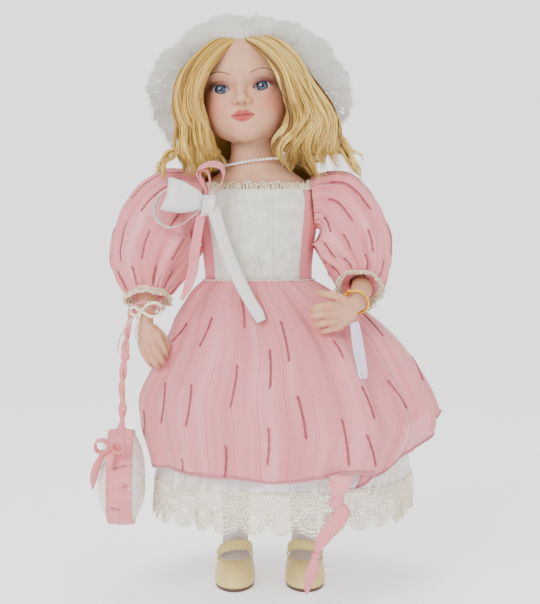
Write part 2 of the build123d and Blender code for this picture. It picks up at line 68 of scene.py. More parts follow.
def make_camera():
    data = bpy.data.cameras.new("camera")
    data.sensor_width = SENSOR_WIDTH
    data.lens = SENSOR_WIDTH * CAMERA_DISTANCE / VIEW_HEIGHT_MM
    camera = bpy.data.objects.new("camera", data)
    bpy.context.collection.objects.link(camera)
    camera.location = (0, -CAMERA_DISTANCE * MM, CAMERA_HEIGHT * MM)
    aim = Vector((0, 0, AIM_Z * MM)) - camera.location
    camera.rotation_euler = aim.to_track_quat("-Z", "Y").to_euler()
    bpy.context.scene.camera = camera


def add_light(name, location, size, power):
    data = bpy.data.lights.new(name, "AREA")
    data.size = size
    data.energy = power
    light = bpy.data.objects.new(name, data)
    bpy.context.collection.objects.link(light)
    light.location = location
    light.rotation_euler = (LIGHTS_AIM_AT - light.location).to_track_quat("-Z", "Y").to_euler()


def make_stage():
    """A pale floor that turns up into a wall far behind the doll, and soft studio light."""
    half_width, front, back, wall_top = 3.0, -2.6, 2.2, 3.0
    steps = 24  # of the quarter circle between floor and wall, whose radius is 1 m
    profile = [(front, 0.0), (back - 1.0, 0.0)]
    for i in range(1, steps + 1):
        turn = math.pi / 2 * i / steps
        profile.append((back - 1.0 + math.sin(turn), 1.0 - math.cos(turn)))
    profile.append((back, wall_top))
    verts = [(x, y, z) for y, z in profile for x in (-half_width, half_width)]
    faces = [(2 * i, 2 * i + 1, 2 * i + 3, 2 * i + 2) for i in range(len(profile) - 1)]
    mesh = bpy.data.meshes.new("floor")
    mesh.from_pydata(verts, [], faces)
    for polygon in mesh.polygons:
        polygon.use_smooth = True
    floor = bpy.data.objects.new("floor", mesh)
    bpy.context.collection.objects.link(floor)
    paper = Nodes("floor_paper", (0.93, 0.93, 0.93), 0.9)
    paper.set(Emission_Color=(1, 1, 1, 1), Emission_Strength=0.55)
    floor.data.materials.append(paper.material)
    world = bpy.data.worlds.new("studio")
    bpy.context.scene.world = world
    world.use_nodes = True
    sky = world.node_tree.nodes["Background"]
    sky.inputs["Color"].default_value = (1, 1, 1, 1)
    sky.inputs["Strength"].default_value = 0.85
    add_light("key", (-0.9, -1.5, 1.25), 0.9, 36)
    add_light("fill", (1.3, -1.3, 0.7), 1.2, 13)
    add_light("top", (0.1, 0.2, 1.7), 1.0, 16)


# ---------------------------------------------------------------- material kit
class Nodes:
    """A short way to lay out one material's nodes."""

    def __init__(self, name, colour=(0.8, 0.8, 0.8), roughness=0.5):
        self.material = bpy.data.materials.new(name)
        self.material.use_nodes = True
        self.tree = self.material.node_tree
        self.shader = self.tree.nodes["Principled BSDF"]
        self.shader.inputs["Base Color"].default_value = (*colour, 1)
        self.shader.inputs["Roughness"].default_value = roughness

    def add(self, kind, inputs=(), **settings):
        node = self.tree.nodes.new(kind)
        for key, value in settings.items():
            setattr(node, key, value)
        for key, value in dict(inputs).items():
            if isinstance(value, bpy.types.NodeSocket):
                self.tree.links.new(value, node.inputs[key])
            else:
                node.inputs[key].default_value = value
        return node

    def link(self, output, socket):
        self.tree.links.new(output, self.shader.inputs[socket])

    def coordinates(self, kind="Object"):
        return self.add("ShaderNodeTexCoord").outputs[kind]

    def stored(self, name):
        """A number that the mesh keeps for each of its points."""
        return self.add("ShaderNodeAttribute", attribute_name=name).outputs["Fac"]

    def noise(self, vector, scale, detail=3.0):
        inputs = {"Vector": vector, "Scale": scale, "Detail": detail, "Roughness": 0.55}
        return self.add("ShaderNodeTexNoise", inputs).outputs["Fac"]

    def stretch(self, vector, scale):
        return self.add("ShaderNodeMapping", {"Vector": vector, "Scale": scale}).outputs["Vector"]

    def wave(self, vector, scale, direction="X", distortion=0.0):
        node = self.add(
            "ShaderNodeTexWave",
            {"Vector": vector, "Scale": scale, "Distortion": distortion},
            wave_type="BANDS",
            bands_direction=direction,
        )
        return node.outputs["Fac"]

    def math(self, operation, a, b=0.0):
        return self.add("ShaderNodeMath", {0: a, 1: b}, operation=operation).outputs[0]

    def span(self, value, low, high, to_low=0.0, to_high=1.0):
        node = self.add(
            "ShaderNodeMapRange",
            {"Value": value, "From Min": low, "From Max": high, "To Min": to_low, "To Max": to_high},
        )
        return node.outputs["Result"]

    def mix(self, factor, a, b):
        """Blends two colours; each may be an (r, g, b) or another node's output."""
        node = self.add("ShaderNodeMix", {"Factor": factor}, data_type="RGBA")
        for name, value in (("A", a), ("B", b)):
            target = next(s for s in node.inputs if s.name == name and s.type == "RGBA")
            if isinstance(value, bpy.types.NodeSocket):
                self.tree.links.new(value, target)
            else:
                target.default_value = (*value, 1)
        return next(s for s in node.outputs if s.type == "RGBA")

    def bump(self, height, strength, distance):
        node = self.add("ShaderNodeBump", {"Height": height, "Strength": strength, "Distance": distance})
        self.link(node.outputs["Normal"], "Normal")

    def set(self, **values):
        for key, value in values.items():
            self.shader.inputs[key.replace("_", " ")].default_value = value
        return self


def dimmed(colour, share):
    return tuple(share * c for c in colour)


def wave_scale(period):
    """The scale at which a wave texture repeats after this many metres along one axis."""
    return TAU / 20.0 / period


def cloth_material(name, colour, shade, thread_mm, weave):
    """A plain weave: two crossed sets of fine waves for the threads, and a soft unevenness of colour."""
    n = Nodes(name, colour, 0.8)
    place = n.coordinates("UV")
    rate = wave_scale(2 * thread_mm * MM)
    threads = n.math("MULTIPLY", n.wave(place, rate, "X"), n.wave(place, rate, "Y"))
    clouds = n.noise(n.coordinates(), 18.0)
    tint = n.mix(n.span(clouds, 0.3, 0.7), colour, shade)
    n.link(n.mix(n.span(threads, 0.0, 1.0, 0.0, weave), tint, dimmed(shade, 0.82)), "Base Color")
    n.bump(threads, 0.35, 0.0002)
    n.set(Sheen_Weight=0.25, Sheen_Roughness=0.5)
    return n.material


SKIN = (0.57, 0.305, 0.185)


def bisque_material(name, paint=None, flush=None):
    """Matt bisque: an even body with a very fine tooth.

    A mesh may bring its own painted colours, stored under the name in paint, or an amount of
    red in the skin, stored under the name in flush.
    """
    n = Nodes(name, SKIN, 0.5)
    clouds = n.noise(n.coordinates(), 60.0)
    tint = n.mix(n.span(clouds, 0.3, 0.7, 0.0, 0.35), SKIN, dimmed(SKIN, 0.93))
    if paint:
        painted = n.add("ShaderNodeAttribute", attribute_name=paint)
        tint = n.mix(painted.outputs["Alpha"], tint, painted.outputs["Color"])
    if flush:
        tint = n.mix(n.stored(flush), tint, (0.50, 0.14, 0.085))
    n.link(tint, "Base Color")
    n.bump(n.noise(n.coordinates(), 1400.0), 0.08, 0.0001)
    n.set(Subsurface_Weight=0.12, Subsurface_Scale=0.004, Specular_IOR_Level=0.35)
    n.set(Subsurface_Radius=(1.0, 0.35, 0.2))
    return n.material


# ---------------------------------------------------------------- mesh kit
def declare(piece, body, replaces=()):
    """Says which body the piece rides on, if only one, and which CAD nodes it stands for."""
    if body:
        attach(piece, body)
    if replaces:
        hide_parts(*replaces)
    return piece


def make_piece(name, verts, faces, material, body, uvs=None, replaces=(), slot=None):
    """A smooth mesh piece from points in millimetres; uvs hold one (u, v) per point, in metres."""
    mesh = bpy.data.meshes.new(name)
    verts = np.asarray(verts, dtype=float) * MM
    mesh.from_pydata(verts.tolist(), [], [tuple(int(i) for i in f) for f in faces])
    mesh.polygons.foreach_set("use_smooth", [True] * len(mesh.polygons))
    if uvs is not None:
        layer = mesh.uv_layers.new(name="flat")
        corner = np.zeros(len(mesh.loops), dtype=int)
        mesh.loops.foreach_get("vertex_index", corner)
        layer.data.foreach_set("uv", np.asarray(uvs, dtype=float)[corner].ravel())
    mesh.validate()
    mesh.materials.append(material)
    piece = bpy.data.objects.new(name, mesh)
    bpy.context.collection.objects.link(piece)
    return declare(piece, body, replaces)


def grid_faces(rows, columns, wrap_rows=False, wrap_columns=False, start=0):
    """Quads over a grid of points, numbered row by row."""
    i = np.arange(rows if wrap_rows else rows - 1)
    j = np.arange(columns if wrap_columns else columns - 1)
    i, j = (a.ravel() for a in np.meshgrid(i, j, indexing="ij"))
    i2, j2 = (i + 1) % rows, (j + 1) % columns
    quads = np.stack((i * columns + j, i * columns + j2, i2 * columns + j2, i2 * columns + j), 1)
    return (start + quads).tolist()


def capped_faces(rows, columns):
    """Quads over a grid that closes round its columns, with a cap over its first and its last row."""
    first = list(range(columns))[::-1]
    last = [(rows - 1) * columns + k for k in range(columns)]
    return grid_faces(rows, columns, wrap_columns=True) + [first, last]


def grid_rim(rows, columns):
    """The point numbers once round the edge of a grid."""
    rim = list(range(columns)) + [r * columns + columns - 1 for r in range(1, rows)]
    rim += [(rows - 1) * columns + c for c in range(columns - 2, -1, -1)]
    return rim + [r * columns for r in range(rows - 2, 0, -1)]


def wall(ids, count):
    """Quads between a closed line of points and the same line on a second skin, count points later."""
    return [[a, b, b + count, a + count] for a, b in zip(ids, ids[1:] + ids[:1])]


def full_turn(count):
    """Angles once round; the last stops short of the first."""
    return np.linspace(0, TAU, count, endpoint=False)


def radial(turn):
    """Level directions outwards at these angles."""
    return np.stack((np.cos(turn), np.sin(turn), 0 * turn), -1)


def circle(turn, side, lift):
    """Directions round a circle in the plane of side and lift."""
    return np.cos(turn)[:, None] * side + np.sin(turn)[:, None] * lift


def rings(turn, side, lift):
    """Directions round a path, points by angles by 3, from a side and a lift at each of its points."""
    return np.cos(turn)[None, :, None] * side[:, None, :] + np.sin(turn)[None, :, None] * lift[:, None, :]


def smooth_path(points, count, closed=False):
    """Points along a Catmull-Rom curve through the given ones, evenly spaced in its own parameter."""
    p = np.asarray(points, dtype=float)
    n = len(p)
    if closed:
        padded = np.vstack((p[-1], p, p[:2]))
        spans, t = n, np.linspace(0, n, count, endpoint=False)
    else:
        padded = np.vstack((2 * p[0] - p[1], p, 2 * p[-1] - p[-2]))
        spans, t = n - 1, np.linspace(0, n - 1, count)
    k = np.minimum(t.astype(int), spans - 1)
    f = (t - k)[:, None]
    a, b, c, d = padded[k], padded[k + 1], padded[k + 2], padded[k + 3]
    return 0.5 * (2 * b + (c - a) * f + (2 * a - 5 * b + 4 * c - d) * f**2 + (3 * b - a - 3 * c + d) * f**3)


def unit(v):
    v = np.asarray(v, dtype=float)
    return v / np.maximum(np.linalg.norm(v, axis=-1, keepdims=True), 1e-9)


def frames_along(path, up=UP):
    """Side and lift directions at each point of a path."""
    tangent = unit(np.gradient(path, axis=0))
    side = unit(np.cross(tangent, up))
    return side, np.cross(side, tangent)


def tube(path, radius, sides=6, closed=False, up=UP, flat=1.0):
    """Points and faces of a tube; radius may be one number or one per point, flat squeezes its lift."""
    path = np.asarray(path, dtype=float)
    if closed:
        tangent = unit(np.roll(path, -1, 0) - np.roll(path, 1, 0))
        side = unit(np.cross(tangent, up))
        lift = np.cross(side, tangent)
        faces = grid_faces(len(path), sides, wrap_rows=True, wrap_columns=True)
    else:
        side, lift = frames_along(path, up)
        faces = capped_faces(len(path), sides)
    radius = np.broadcast_to(np.asarray(radius, dtype=float), (len(path),))[:, None, None]
    verts = path[:, None, :] + radius * rings(full_turn(sides), side, flat * lift)
    return verts.reshape(-1, 3), faces


def two_sided(grid, thickness, wrap_columns=True):
    """A thin cloth of two skins over a grid of points, closed along its open edges."""
    rows, columns = grid.shape[:2]
    du = np.roll(grid, -1, 1) - np.roll(grid, 1, 1) if wrap_columns else np.gradient(grid, axis=1)
    half = unit(np.cross(np.gradient(grid, axis=0), du)) * thickness / 2
    verts = np.vstack(((grid + half).reshape(-1, 3), (grid - half).reshape(-1, 3)))
    count = rows * columns
    skin = grid_faces(rows, columns, wrap_columns=wrap_columns)
    faces = [f[::-1] for f in skin] + [[i + count for i in f] for f in skin]
    if not wrap_columns:
        return verts, faces + wall(grid_rim(rows, columns), count)
    last = [(rows - 1) * columns + c for c in range(columns)]
    return verts, faces + wall(list(range(columns)), count) + [f[::-1] for f in wall(last, count)]


def make_cloth(name, grid, thickness, uv, material, body, wrap_columns=True, **more):
    """A piece of thin cloth over a grid; both of its skins take the same flat coordinates."""
    verts, faces = two_sided(grid, thickness, wrap_columns)
    return make_piece(name, verts, faces, material, body, uvs=np.vstack((uv, uv)), **more)


def cloth_uv(grid):
    """Flat-pattern coordinates in metres: u along the bottom row, v down from the top."""
    step = np.linalg.norm(np.diff(grid[-1], axis=0), axis=1)
    u = np.concatenate(([0], np.cumsum(step)))
    v = np.concatenate(([0], np.cumsum(np.linalg.norm(np.diff(grid, axis=0), axis=-1).mean(1))))
    return np.stack(np.meshgrid(u, v), -1).reshape(-1, 2) * MM


class Heap:
    """Collects many small shapes, with a colour each, into one mesh."""

    def __init__(self):
        self.verts, self.faces, self.shades, self.count = [], [], [], 0

    def add(self, shape, shade=0.5):
        verts, faces = shape
        self.verts.append(np.asarray(verts))
        self.faces += [[i + self.count for i in f] for f in faces]
        self.shades.append(np.full(len(verts), shade))
        self.count += len(verts)

    def piece(self, name, material, body, **more):
        made = make_piece(name, np.vstack(self.verts), self.faces, material, body, **more)
        store_value(made, "shade", np.concatenate(self.shades))
        return made


def store_value(piece, name, values):
    layer = piece.data.attributes.new(name, "FLOAT", "POINT")
    layer.data.foreach_set("value", np.asarray(values, dtype=float))


def store_colour(piece, name, rgba):
    layer = piece.data.attributes.new(name, "FLOAT_COLOR", "POINT")
    layer.data.foreach_set("color", np.asarray(rgba, dtype=float).ravel())


def apply_modifiers(piece):
    """Keeps the shape that the modifiers make, and drops the modifiers."""
    graph = bpy.context.evaluated_depsgraph_get()
    mesh = bpy.data.meshes.new_from_object(piece.evaluated_get(graph), depsgraph=graph)
    piece.modifiers.clear()
    old = piece.data
    piece.data = mesh
    bpy.data.meshes.remove(old)


def ripple(points, scale, seed=0.0):
    """Smooth, repeatable unevenness between about -1 and 1, from crossed sines."""
    p = np.asarray(points, dtype=float) * scale + seed
    x, y, z = p[..., 0], p[..., 1], p[..., 2]
    a = np.sin(1.7 * x + 2.3 * np.sin(0.9 * y + 1.3 * z)) * np.cos(1.3 * y - 1.1 * z + seed)
    b = np.sin(2.9 * z + 1.9 * np.sin(1.1 * x - 0.7 * y)) * np.cos(2.1 * x + 0.8 * z - seed)
    c = np.sin(5.1 * x + 3.7 * y - 4.3 * z + 1.5 * np.sin(2.7 * y))
    return 0.5 * a + 0.35 * b + 0.15 * c


# ---------------------------------------------------------------- head
HEAD_AT = np.array((-19.0, 4.0, 391.0))
HEAD_TURN = np.array(Euler([math.radians(a) for a in (-6, -4, -6)], "ZYX").to_matrix())
EYE = np.array((16.0, -25.4, -8.0))  # the left eye's centre; the right one mirrors it
EYE_R = 8.6


def to_world(local):
    """Head frame to the doll's frame."""
    return np.asarray(local) @ HEAD_TURN.T + HEAD_AT


def to_head(world):
    return (np.asarray(world) - HEAD_AT) @ HEAD_TURN


def ball(p, centre, radii):
    """Distance to an ellipsoid, near enough for blending."""
    radii = np.asarray(radii, dtype=float) * np.ones(3)
    q = (p - centre) / radii
    k0 = np.linalg.norm(q, axis=-1)
    k1 = np.maximum(np.linalg.norm(q / radii, axis=-1), 1e-9)
    return k0 * (k0 - 1.0) / k1


def rod(p, a, b, r_a, r_b):
    """Distance to a tapered capsule."""
    a, b = np.asarray(a, dtype=float), np.asarray(b, dtype=float)
    along = b - a
    t = np.clip(((p - a) @ along) / (along @ along), 0, 1)
    return np.linalg.norm(p - a - t[..., None] * along, axis=-1) - (r_a + (r_b - r_a) * t)


def join(d1, d2, k):
    h = np.clip(0.5 + 0.5 * (d2 - d1) / k, 0, 1)
    return d2 + (d1 - d2) * h - k * h * (1 - h)


def cut(d1, d2, k):
    return -join(-d1, d2, k)


def almond(x, z):
    """Below zero inside the eye's opening; x is outwards from the nose, z is up, from the eye's centre."""
    half, upper, lower = 7.2, 3.35, 3.6
    t = np.clip(x / half, -1.6, 1.6)
    lift = 0.9 * t  # the outer corner is higher
    height = np.where(z > lift, upper, lower) * np.maximum(1 - np.abs(t) ** 2.1, -1.5)
    return np.abs(z - lift) - height


NECK_FOOT = to_head((-12.5, 3.0, 338.0))
NECK_TOP = to_head((-16.5, 3.0, 378.0))


def head_distance(p):
    """The head's shape as one distance field, in the head's frame; only the neck isn't symmetric in x."""
    q = p.copy()
    q[..., 0] = np.abs(q[..., 0])
    d = ball(q, (0, 3, 4), (37.5, 41.0, 35.5))
    d = join(d, ball(q, (0, -8, -14), (30.5, 27.5, 30)), 8)
    d = join(d, ball(q, (15, -17.5, -21), (16.5, 16, 15)), 7)
    d = join(d, ball(q, (0, -16, 14), (27, 21.5, 20)), 8)
    d = join(d, ball(q, (0, -11, -28), (24.0, 20, 15.5)), 8)
    d = join(d, ball(q, (11.0, -16, -29), (14.5, 15, 13.5)), 9)
    d = join(d, ball(q, (0, -24.5, -40.0), (11.5, 9, 8)), 6)
    d = join(d, ball(q, (14, -27.5, 4.5), (12, 8.0, 5)), 5)
    # eye sockets, lids and openings
    d = cut(d, ball(q, (15.5, -41.5, -7.5), (10.5, 7.0, 8.5)), 5)
    d = join(d, ball(q, (EYE[0], EYE[1] + 0.2, EYE[2]), EYE_R + 1.25), 2.2)
    arch = q[..., 2] - (EYE[2] + 6.6 - 0.05 * (q[..., 0] - EYE[0] - 1) ** 2)
    d = d + 0.55 * np.exp(-(arch**2) / 0.7 - ((q[..., 0] - EYE[0]) / 8.5) ** 4) * (q[..., 1] < -20)
    # nose
    d = join(d, rod(q, (0, -34, 3), (0, -40.0, -16.0), 3.2, 3.4), 4.5)
    d = join(d, ball(q, (0, -41.2, -17.6), (4.3, 4.1, 3.9)), 2.4)
    d = join(d, ball(q, (4.9, -37.9, -18.9), (3.1, 3.6, 2.7)), 1.6)
    d = cut(d, ball(q, (2.5, -40.9, -21.4), (1.35, 1.7, 1.2)), 0.8)
    # mouth
    d = join(d, ball(q, (0, -29.5, -29.5), (13.5, 7.8, 9)), 5)
    d = cut(d, rod(q, (0, -40.4, -23.2), (0, -39.6, -26.0), 1.4, 1.5), 1.8)
    d = join(d, rod(q, (1.9, -37.1, -27.7), (9.3, -33.4, -29.6), 1.75, 0.55), 1.1)
    d = join(d, rod(q, (0, -36.7, -32.2), (6.8, -34.2, -30.9), 2.15, 0.8), 1.3)
    d = cut(d, rod(q, (0, -39.2, -29.75), (9.8, -34.2, -29.9), 0.5, 0.3), 0.7)
    d = cut(d, ball(q, (0, -38.0, -36.0), (6.5, 2.6, 1.9)), 3)
    # neck
    d = join(d, rod(p, NECK_FOOT, NECK_TOP, 16.2, 16.2), 5)
    # eye openings, cut through the lids
    opening = almond(q[..., 0] - EYE[0], q[..., 2] - EYE[2])
    d = cut(d, np.maximum(opening, q[..., 1] + 20.0), 0.45)
    d = cut(d, np.linalg.norm(q - EYE, axis=-1) - (EYE_R + 0.05), 0.2)
    return d


MARCH_STEPS = 300


def march(start, directions, reach, outwards=False):
    """How far along each ray the head's surface lies, coming inwards from reach or outwards from it."""
    sign = 1.0 if outwards else -1.0
    distance = np.full(len(directions), float(reach))
    active = np.arange(len(directions))
    for _ in range(MARCH_STEPS):
        d = head_distance(start + distance[active, None] * directions[active])
        left = (d < -0.01) if outwards else (d > 0.01)
        active, d = active[left], np.abs(d[left])
        if not len(active):
            break
        distance[active] += sign * np.maximum(0.75 * d, 0.03)
    return distance


def head_mesh():
    """The head below and above the ears, from rays over a grid that is finer across the face."""
    columns, rows = 300, 300
    s = np.linspace(-1, 1, columns, endpoint=False)
    turn = math.pi * (0.42 * s + 0.58 * s**3 * np.abs(s) ** 0.5)  # 0 faces -Y; finer there
    t = np.linspace(0, 1, rows)
    drop = np.interp(t, (0, 0.16, 0.86, 1),
                     (math.radians(88), math.radians(28), math.radians(-52), math.radians(-74)))
    drop = np.convolve(np.pad(drop, 12, mode="edge"), np.ones(25) / 25, "valid")
    drop, turn = np.meshgrid(drop, turn, indexing="ij")
    directions = np.stack((np.sin(turn) * np.cos(drop), -np.cos(turn) * np.cos(drop), np.sin(drop)), -1)
    directions, drop = directions.reshape(-1, 3), drop.ravel()
    centre = np.array((0.0, -6.0, -12.0))
    under_chin = drop < math.radians(-50)
    reach = np.empty(len(directions))
    reach[~under_chin] = march(centre, directions[~under_chin], 75.0)
    reach[under_chin] = march(centre, directions[under_chin], 8.0, outwards=True)
    points = centre + reach[:, None] * directions
    return points, grid_faces(rows, columns, wrap_columns=True) + [list(range(columns))]


def soft_spot(p, centre, size):
    """1 at the centre of a painted patch, fading out over its size."""
    q = (p[:, [0, 2]] - np.asarray(centre)) / np.asarray(size)
    return np.exp(-np.sum(q**2, axis=1) * 1.2)


def blend_paint(base, colour, amount):
    amount = np.clip(amount, 0, 1)[:, None]
    return base * (1 - amount) + np.asarray(colour) * amount


def face_paint(p):
    """The painted colours of the face, from each point's place in the head's frame."""
    skin = np.tile(SKIN, (len(p), 1))
    q = p.copy()
    q[:, 0] = np.abs(q[:, 0])
    front = np.clip((-q[:, 1] - 8) / 12, 0, 1)
    c = blend_paint(skin, (0.60, 0.13, 0.085), 0.50 * soft_spot(q, (22, -21), (13, 12)) * front)
    c = blend_paint(c, (0.62, 0.22, 0.15), 0.25 * soft_spot(q, (0, -42), (10, 6)) * front)
    # eye shadow above and around the lids
    lids = almond(q[:, 0] - EYE[0], q[:, 2] - EYE[2])
    above = np.clip((q[:, 2] - EYE[2] + 1.0) / 3.0, 0, 1)
    shadow = np.exp(-np.clip(lids, 0, 30) / 4.8) * above * front
    c = blend_paint(c, (0.24, 0.05, 0.055), 0.95 * shadow)
    deep = np.exp(-np.clip(lids, 0, 30) / 1.5) * above * front
    c = blend_paint(c, (0.07, 0.015, 0.018), 0.75 * deep)
    rim = np.exp(-((np.clip(lids, 0, 30) / 0.95) ** 2)) * front
    c = blend_paint(c, (0.04, 0.012, 0.010), (0.95 * above + 0.30 * (1 - above)) * rim)
    corner = np.exp(-((q[:, 0] - EYE[0] + 8.0) ** 2 + (q[:, 2] - EYE[2] + 1.0) ** 2) / 0.8) * front
    c = blend_paint(c, (0.62, 0.16, 0.13), 0.8 * corner)
    # lips
    x = q[:, 0]
    bow, corner_x = 2.6, 9.5
    beyond = np.clip((x - bow) / (corner_x - bow), 0, 2)
    top = np.where(x < bow, -26.3 - 0.8 * ((x - bow) / bow) ** 2, -26.3 - 3.4 * beyond**1.35)
    bottom = np.where(x < 9.6, -34.6 + 4.7 * np.clip(x / 9.5, 0, 1.1) ** 2.2, 0)
    inside = np.minimum(top - q[:, 2], q[:, 2] - bottom)
    lips = np.clip(inside / 0.5 + 0.5, 0, 1) * (x < 9.8) * front
    c = blend_paint(c, (0.43, 0.055, 0.055), 0.88 * lips)
    heart = np.exp(-((x / 5.5) ** 2) - ((q[:, 2] + 30.2) / 2.0) ** 2)
    c = blend_paint(c, (0.33, 0.02, 0.025), 0.6 * lips * heart)
    line = np.exp(-(((q[:, 2] + 29.85) / 0.42) ** 2)) * (x < 9.6) * lips
    c = blend_paint(c, (0.13, 0.01, 0.012), 0.85 * line)
    nostril = np.exp(-((x - 2.6) ** 2 + (q[:, 2] + 21.3) ** 2 * 1.6) / 0.9) * (q[:, 1] < -36)
    c = blend_paint(c, (0.16, 0.035, 0.02), 0.85 * nostril)
    nose_side = np.exp(-((x - 6.2) ** 2 + (q[:, 2] + 19.0) ** 2) / 3.5) * (q[:, 1] < -33)
    c = blend_paint(c, (0.45, 0.17, 0.09), 0.4 * nose_side)
    # the eyes' hollows inside the lids, seen past the glass: painted shade, a flat dark brown for the shadow
    # in the recess
    hollow = (lids < -0.15) & (q[:, 1] < -10)
    c[hollow] = (0.20, 0.10, 0.085)
    return c


def plate_mesh():
    """The neck and the shoulder plate below the head, down to where the bodice hides its edge."""
    sections = [
        (288, -10, 3, 44.6, 27.6), (298, -10, 3, 44.8, 27.8), (305, -10, 3, 44.3, 27.4),
        (312, -10, 3, 41.6, 25.3), (318, -10.3, 3, 36.2, 23.0), (323, -10.7, 3, 29.6, 20.8),
        (328, -11.3, 3, 23.6, 19.0), (334, -12, 3, 19.6, 17.9), (342, -12.9, 3, 17.9, 17.3),
        (352, -14, 3, 17.5, 17.2), (362, -15, 3, 17.3, 17.1),
    ]
    rows, columns = 70, 120
    profile = smooth_path(sections, rows)
    turn = full_turn(columns)
    z = profile[:, 0][:, None]
    x = profile[:, 1][:, None] + profile[:, 3][:, None] * np.cos(turn)
    y = profile[:, 2][:, None] + profile[:, 4][:, None] * np.sin(turn)
    # collar bones and the hollow between them
    front = np.clip(-np.sin(turn), 0, 1) ** 2
    off = np.abs(x + 11)  # from the breastbone
    bones = np.exp(-(((z - 319 - 0.12 * off) / 3.2) ** 2)) * front * np.exp(-(((off - 17) / 13) ** 4))
    hollow = np.exp(-(((z - 322) / 5) ** 2)) * front * np.exp(-((off / 5) ** 2))
    y = y - 1.0 * bones + 1.4 * hollow
    return np.stack((x, y, z + 0 * x), -1).reshape(-1, 3), grid_faces(rows, columns, wrap_columns=True)


def make_head():
    points, faces = head_mesh()
    paint = face_paint(points)
    world = to_world(points)
    top = len(world)
    plate, plate_faces = plate_mesh()
    verts = np.vstack((world, plate))
    faces += [[i + top for i in f] for f in plate_faces]
    colours = np.vstack((paint, np.tile(SKIN, (len(plate), 1))))
    material = bisque_material("bisque_face", paint="paint")
    head = make_piece("porcelain_head", verts, faces, material, "torso", replaces=("shoulder_head",),
                      slot="bisque")
    store_colour(head, "paint", np.hstack((colours, np.ones((len(colours), 1)))))


def make_eyes():
    """Glass eyes: a white ball with painted shade towards its edges, an iris with fine rays and a dark ring,
    and a clear bright surface.
    """
    rows, columns, iris_r = 56, 96, 4.5
    for side, name in ((-1, "right"), (1, "left")):
        n = Nodes(f"glass_eye_{name}", (0.9, 0.9, 0.9), 0.06)
        place = n.coordinates("UV")
        split = n.add("ShaderNodeSeparateXYZ", {"Vector": place})
        x, y = split.outputs["X"], split.outputs["Y"]
        radius = n.add("ShaderNodeVectorMath", {0: place}, operation="LENGTH").outputs["Value"]
        angle = n.math("ARCTAN2", y, x)
        rays = n.add("ShaderNodeTexNoise", {"Scale": 9.0, "Detail": 2.0, "W": angle}, noise_dimensions="1D")
        rays = n.span(rays.outputs["Fac"], 0.3, 0.7)
        blue = n.mix(rays, (0.006, 0.012, 0.024), (0.026, 0.046, 0.078))
        inner = n.mix(n.span(radius, 0.40, 0.62), (0.05, 0.08, 0.12), blue)
        ringed = n.mix(n.span(radius, 0.70, 0.92), inner, (0.004, 0.006, 0.012))
        pupil = n.mix(n.span(radius, 0.35, 0.40), (0.004, 0.004, 0.006), ringed)
        # painted shade: the white darkens to a brownish grey away from the iris, where the lids shade the
        # ball
        white = n.mix(n.span(radius, 1.1, 1.8), (0.58, 0.56, 0.58), (0.34, 0.22, 0.20))
        n.link(n.mix(n.span(radius, 0.97, 1.06), pupil, white), "Base Color")
        n.set(Coat_Weight=0.5, Coat_Roughness=0.02, Specular_IOR_Level=0.35)
        drop = np.linspace(0, math.pi * 0.62, rows)
        turn = full_turn(columns)
        drop, turn = np.meshgrid(drop, turn, indexing="ij")
        gaze = unit(np.array((0.015 * side - 0.02, -1.0, 0.015)))
        right = unit(np.cross(gaze, UP))
        up = np.cross(right, gaze)
        bulge = EYE_R + 0.35 * np.exp(-((EYE_R * drop / iris_r) ** 2) * 1.2) - 0.05
        local = (
            np.cos(drop)[..., None] * gaze
            + (np.sin(drop) * np.cos(turn))[..., None] * right
            + (np.sin(drop) * np.sin(turn))[..., None] * up
        ) * bulge[..., None]
        centre = EYE * (side, 1, 1)
        uv = np.stack((np.sin(drop) * np.cos(turn), np.sin(drop) * np.sin(turn)), -1) * EYE_R / iris_r
        points = to_world((local + centre).reshape(-1, 3))
        make_piece(f"eye_glass_{name}", points, grid_faces(rows, columns, wrap_columns=True), n.material,
                   "torso",
                   uvs=uv.reshape(-1, 2), replaces=(f"eye_{name}",), slot="eye_glass")


FACE_STEP = 0.5
FACE_X = np.arange(-34.0, 34.1, FACE_STEP)
FACE_Z = np.arange(-34.0, 20.1, FACE_STEP)


def front_of_face():
    """The face's y over a grid of x and z, looking straight at it."""
    z, x = np.meshgrid(FACE_Z, FACE_X, indexing="ij")
    start = np.stack((x, np.full(x.shape, -52.0), z), -1).reshape(-1, 3)
    y = np.full(len(start), -52.0)
    active = np.arange(len(start))
    for _ in range(90):
        point = start[active].copy()
        point[:, 1] = y[active]
        d = head_distance(point)
        left = (d > 0.01) & (y[active] < 0)
        active, d = active[left], d[left]
        if not len(active):
            break
        y[active] += np.maximum(0.75 * d, 0.01)
    return y.reshape(x.shape)


def onto_head(face_y, x, z, lift=0.05):
    """The point of the face at x, z in the head's frame, a little proud of the surface."""
    x, z = np.asarray(x, dtype=float), np.asarray(z, dtype=float)
    u = np.clip((x - FACE_X[0]) / FACE_STEP, 0, len(FACE_X) - 1.001)
    v = np.clip((z - FACE_Z[0]) / FACE_STEP, 0, len(FACE_Z) - 1.001)
    i, j = v.astype(int), u.astype(int)
    f, g = v - i, u - j
    y = (face_y[i, j] * (1 - g) + face_y[i, j + 1] * g) * (1 - f)
    y = y + (face_y[i + 1, j] * (1 - g) + face_y[i + 1, j + 1] * g) * f
    return np.stack((x, y - lift, z), -1)


def lid_bulge(x):
    """How high the lids' edge stands at x, as a share of its height at the eye's middle."""
    return max(1 - abs((x - EYE[0]) / 7.7) ** 2.1, 0)


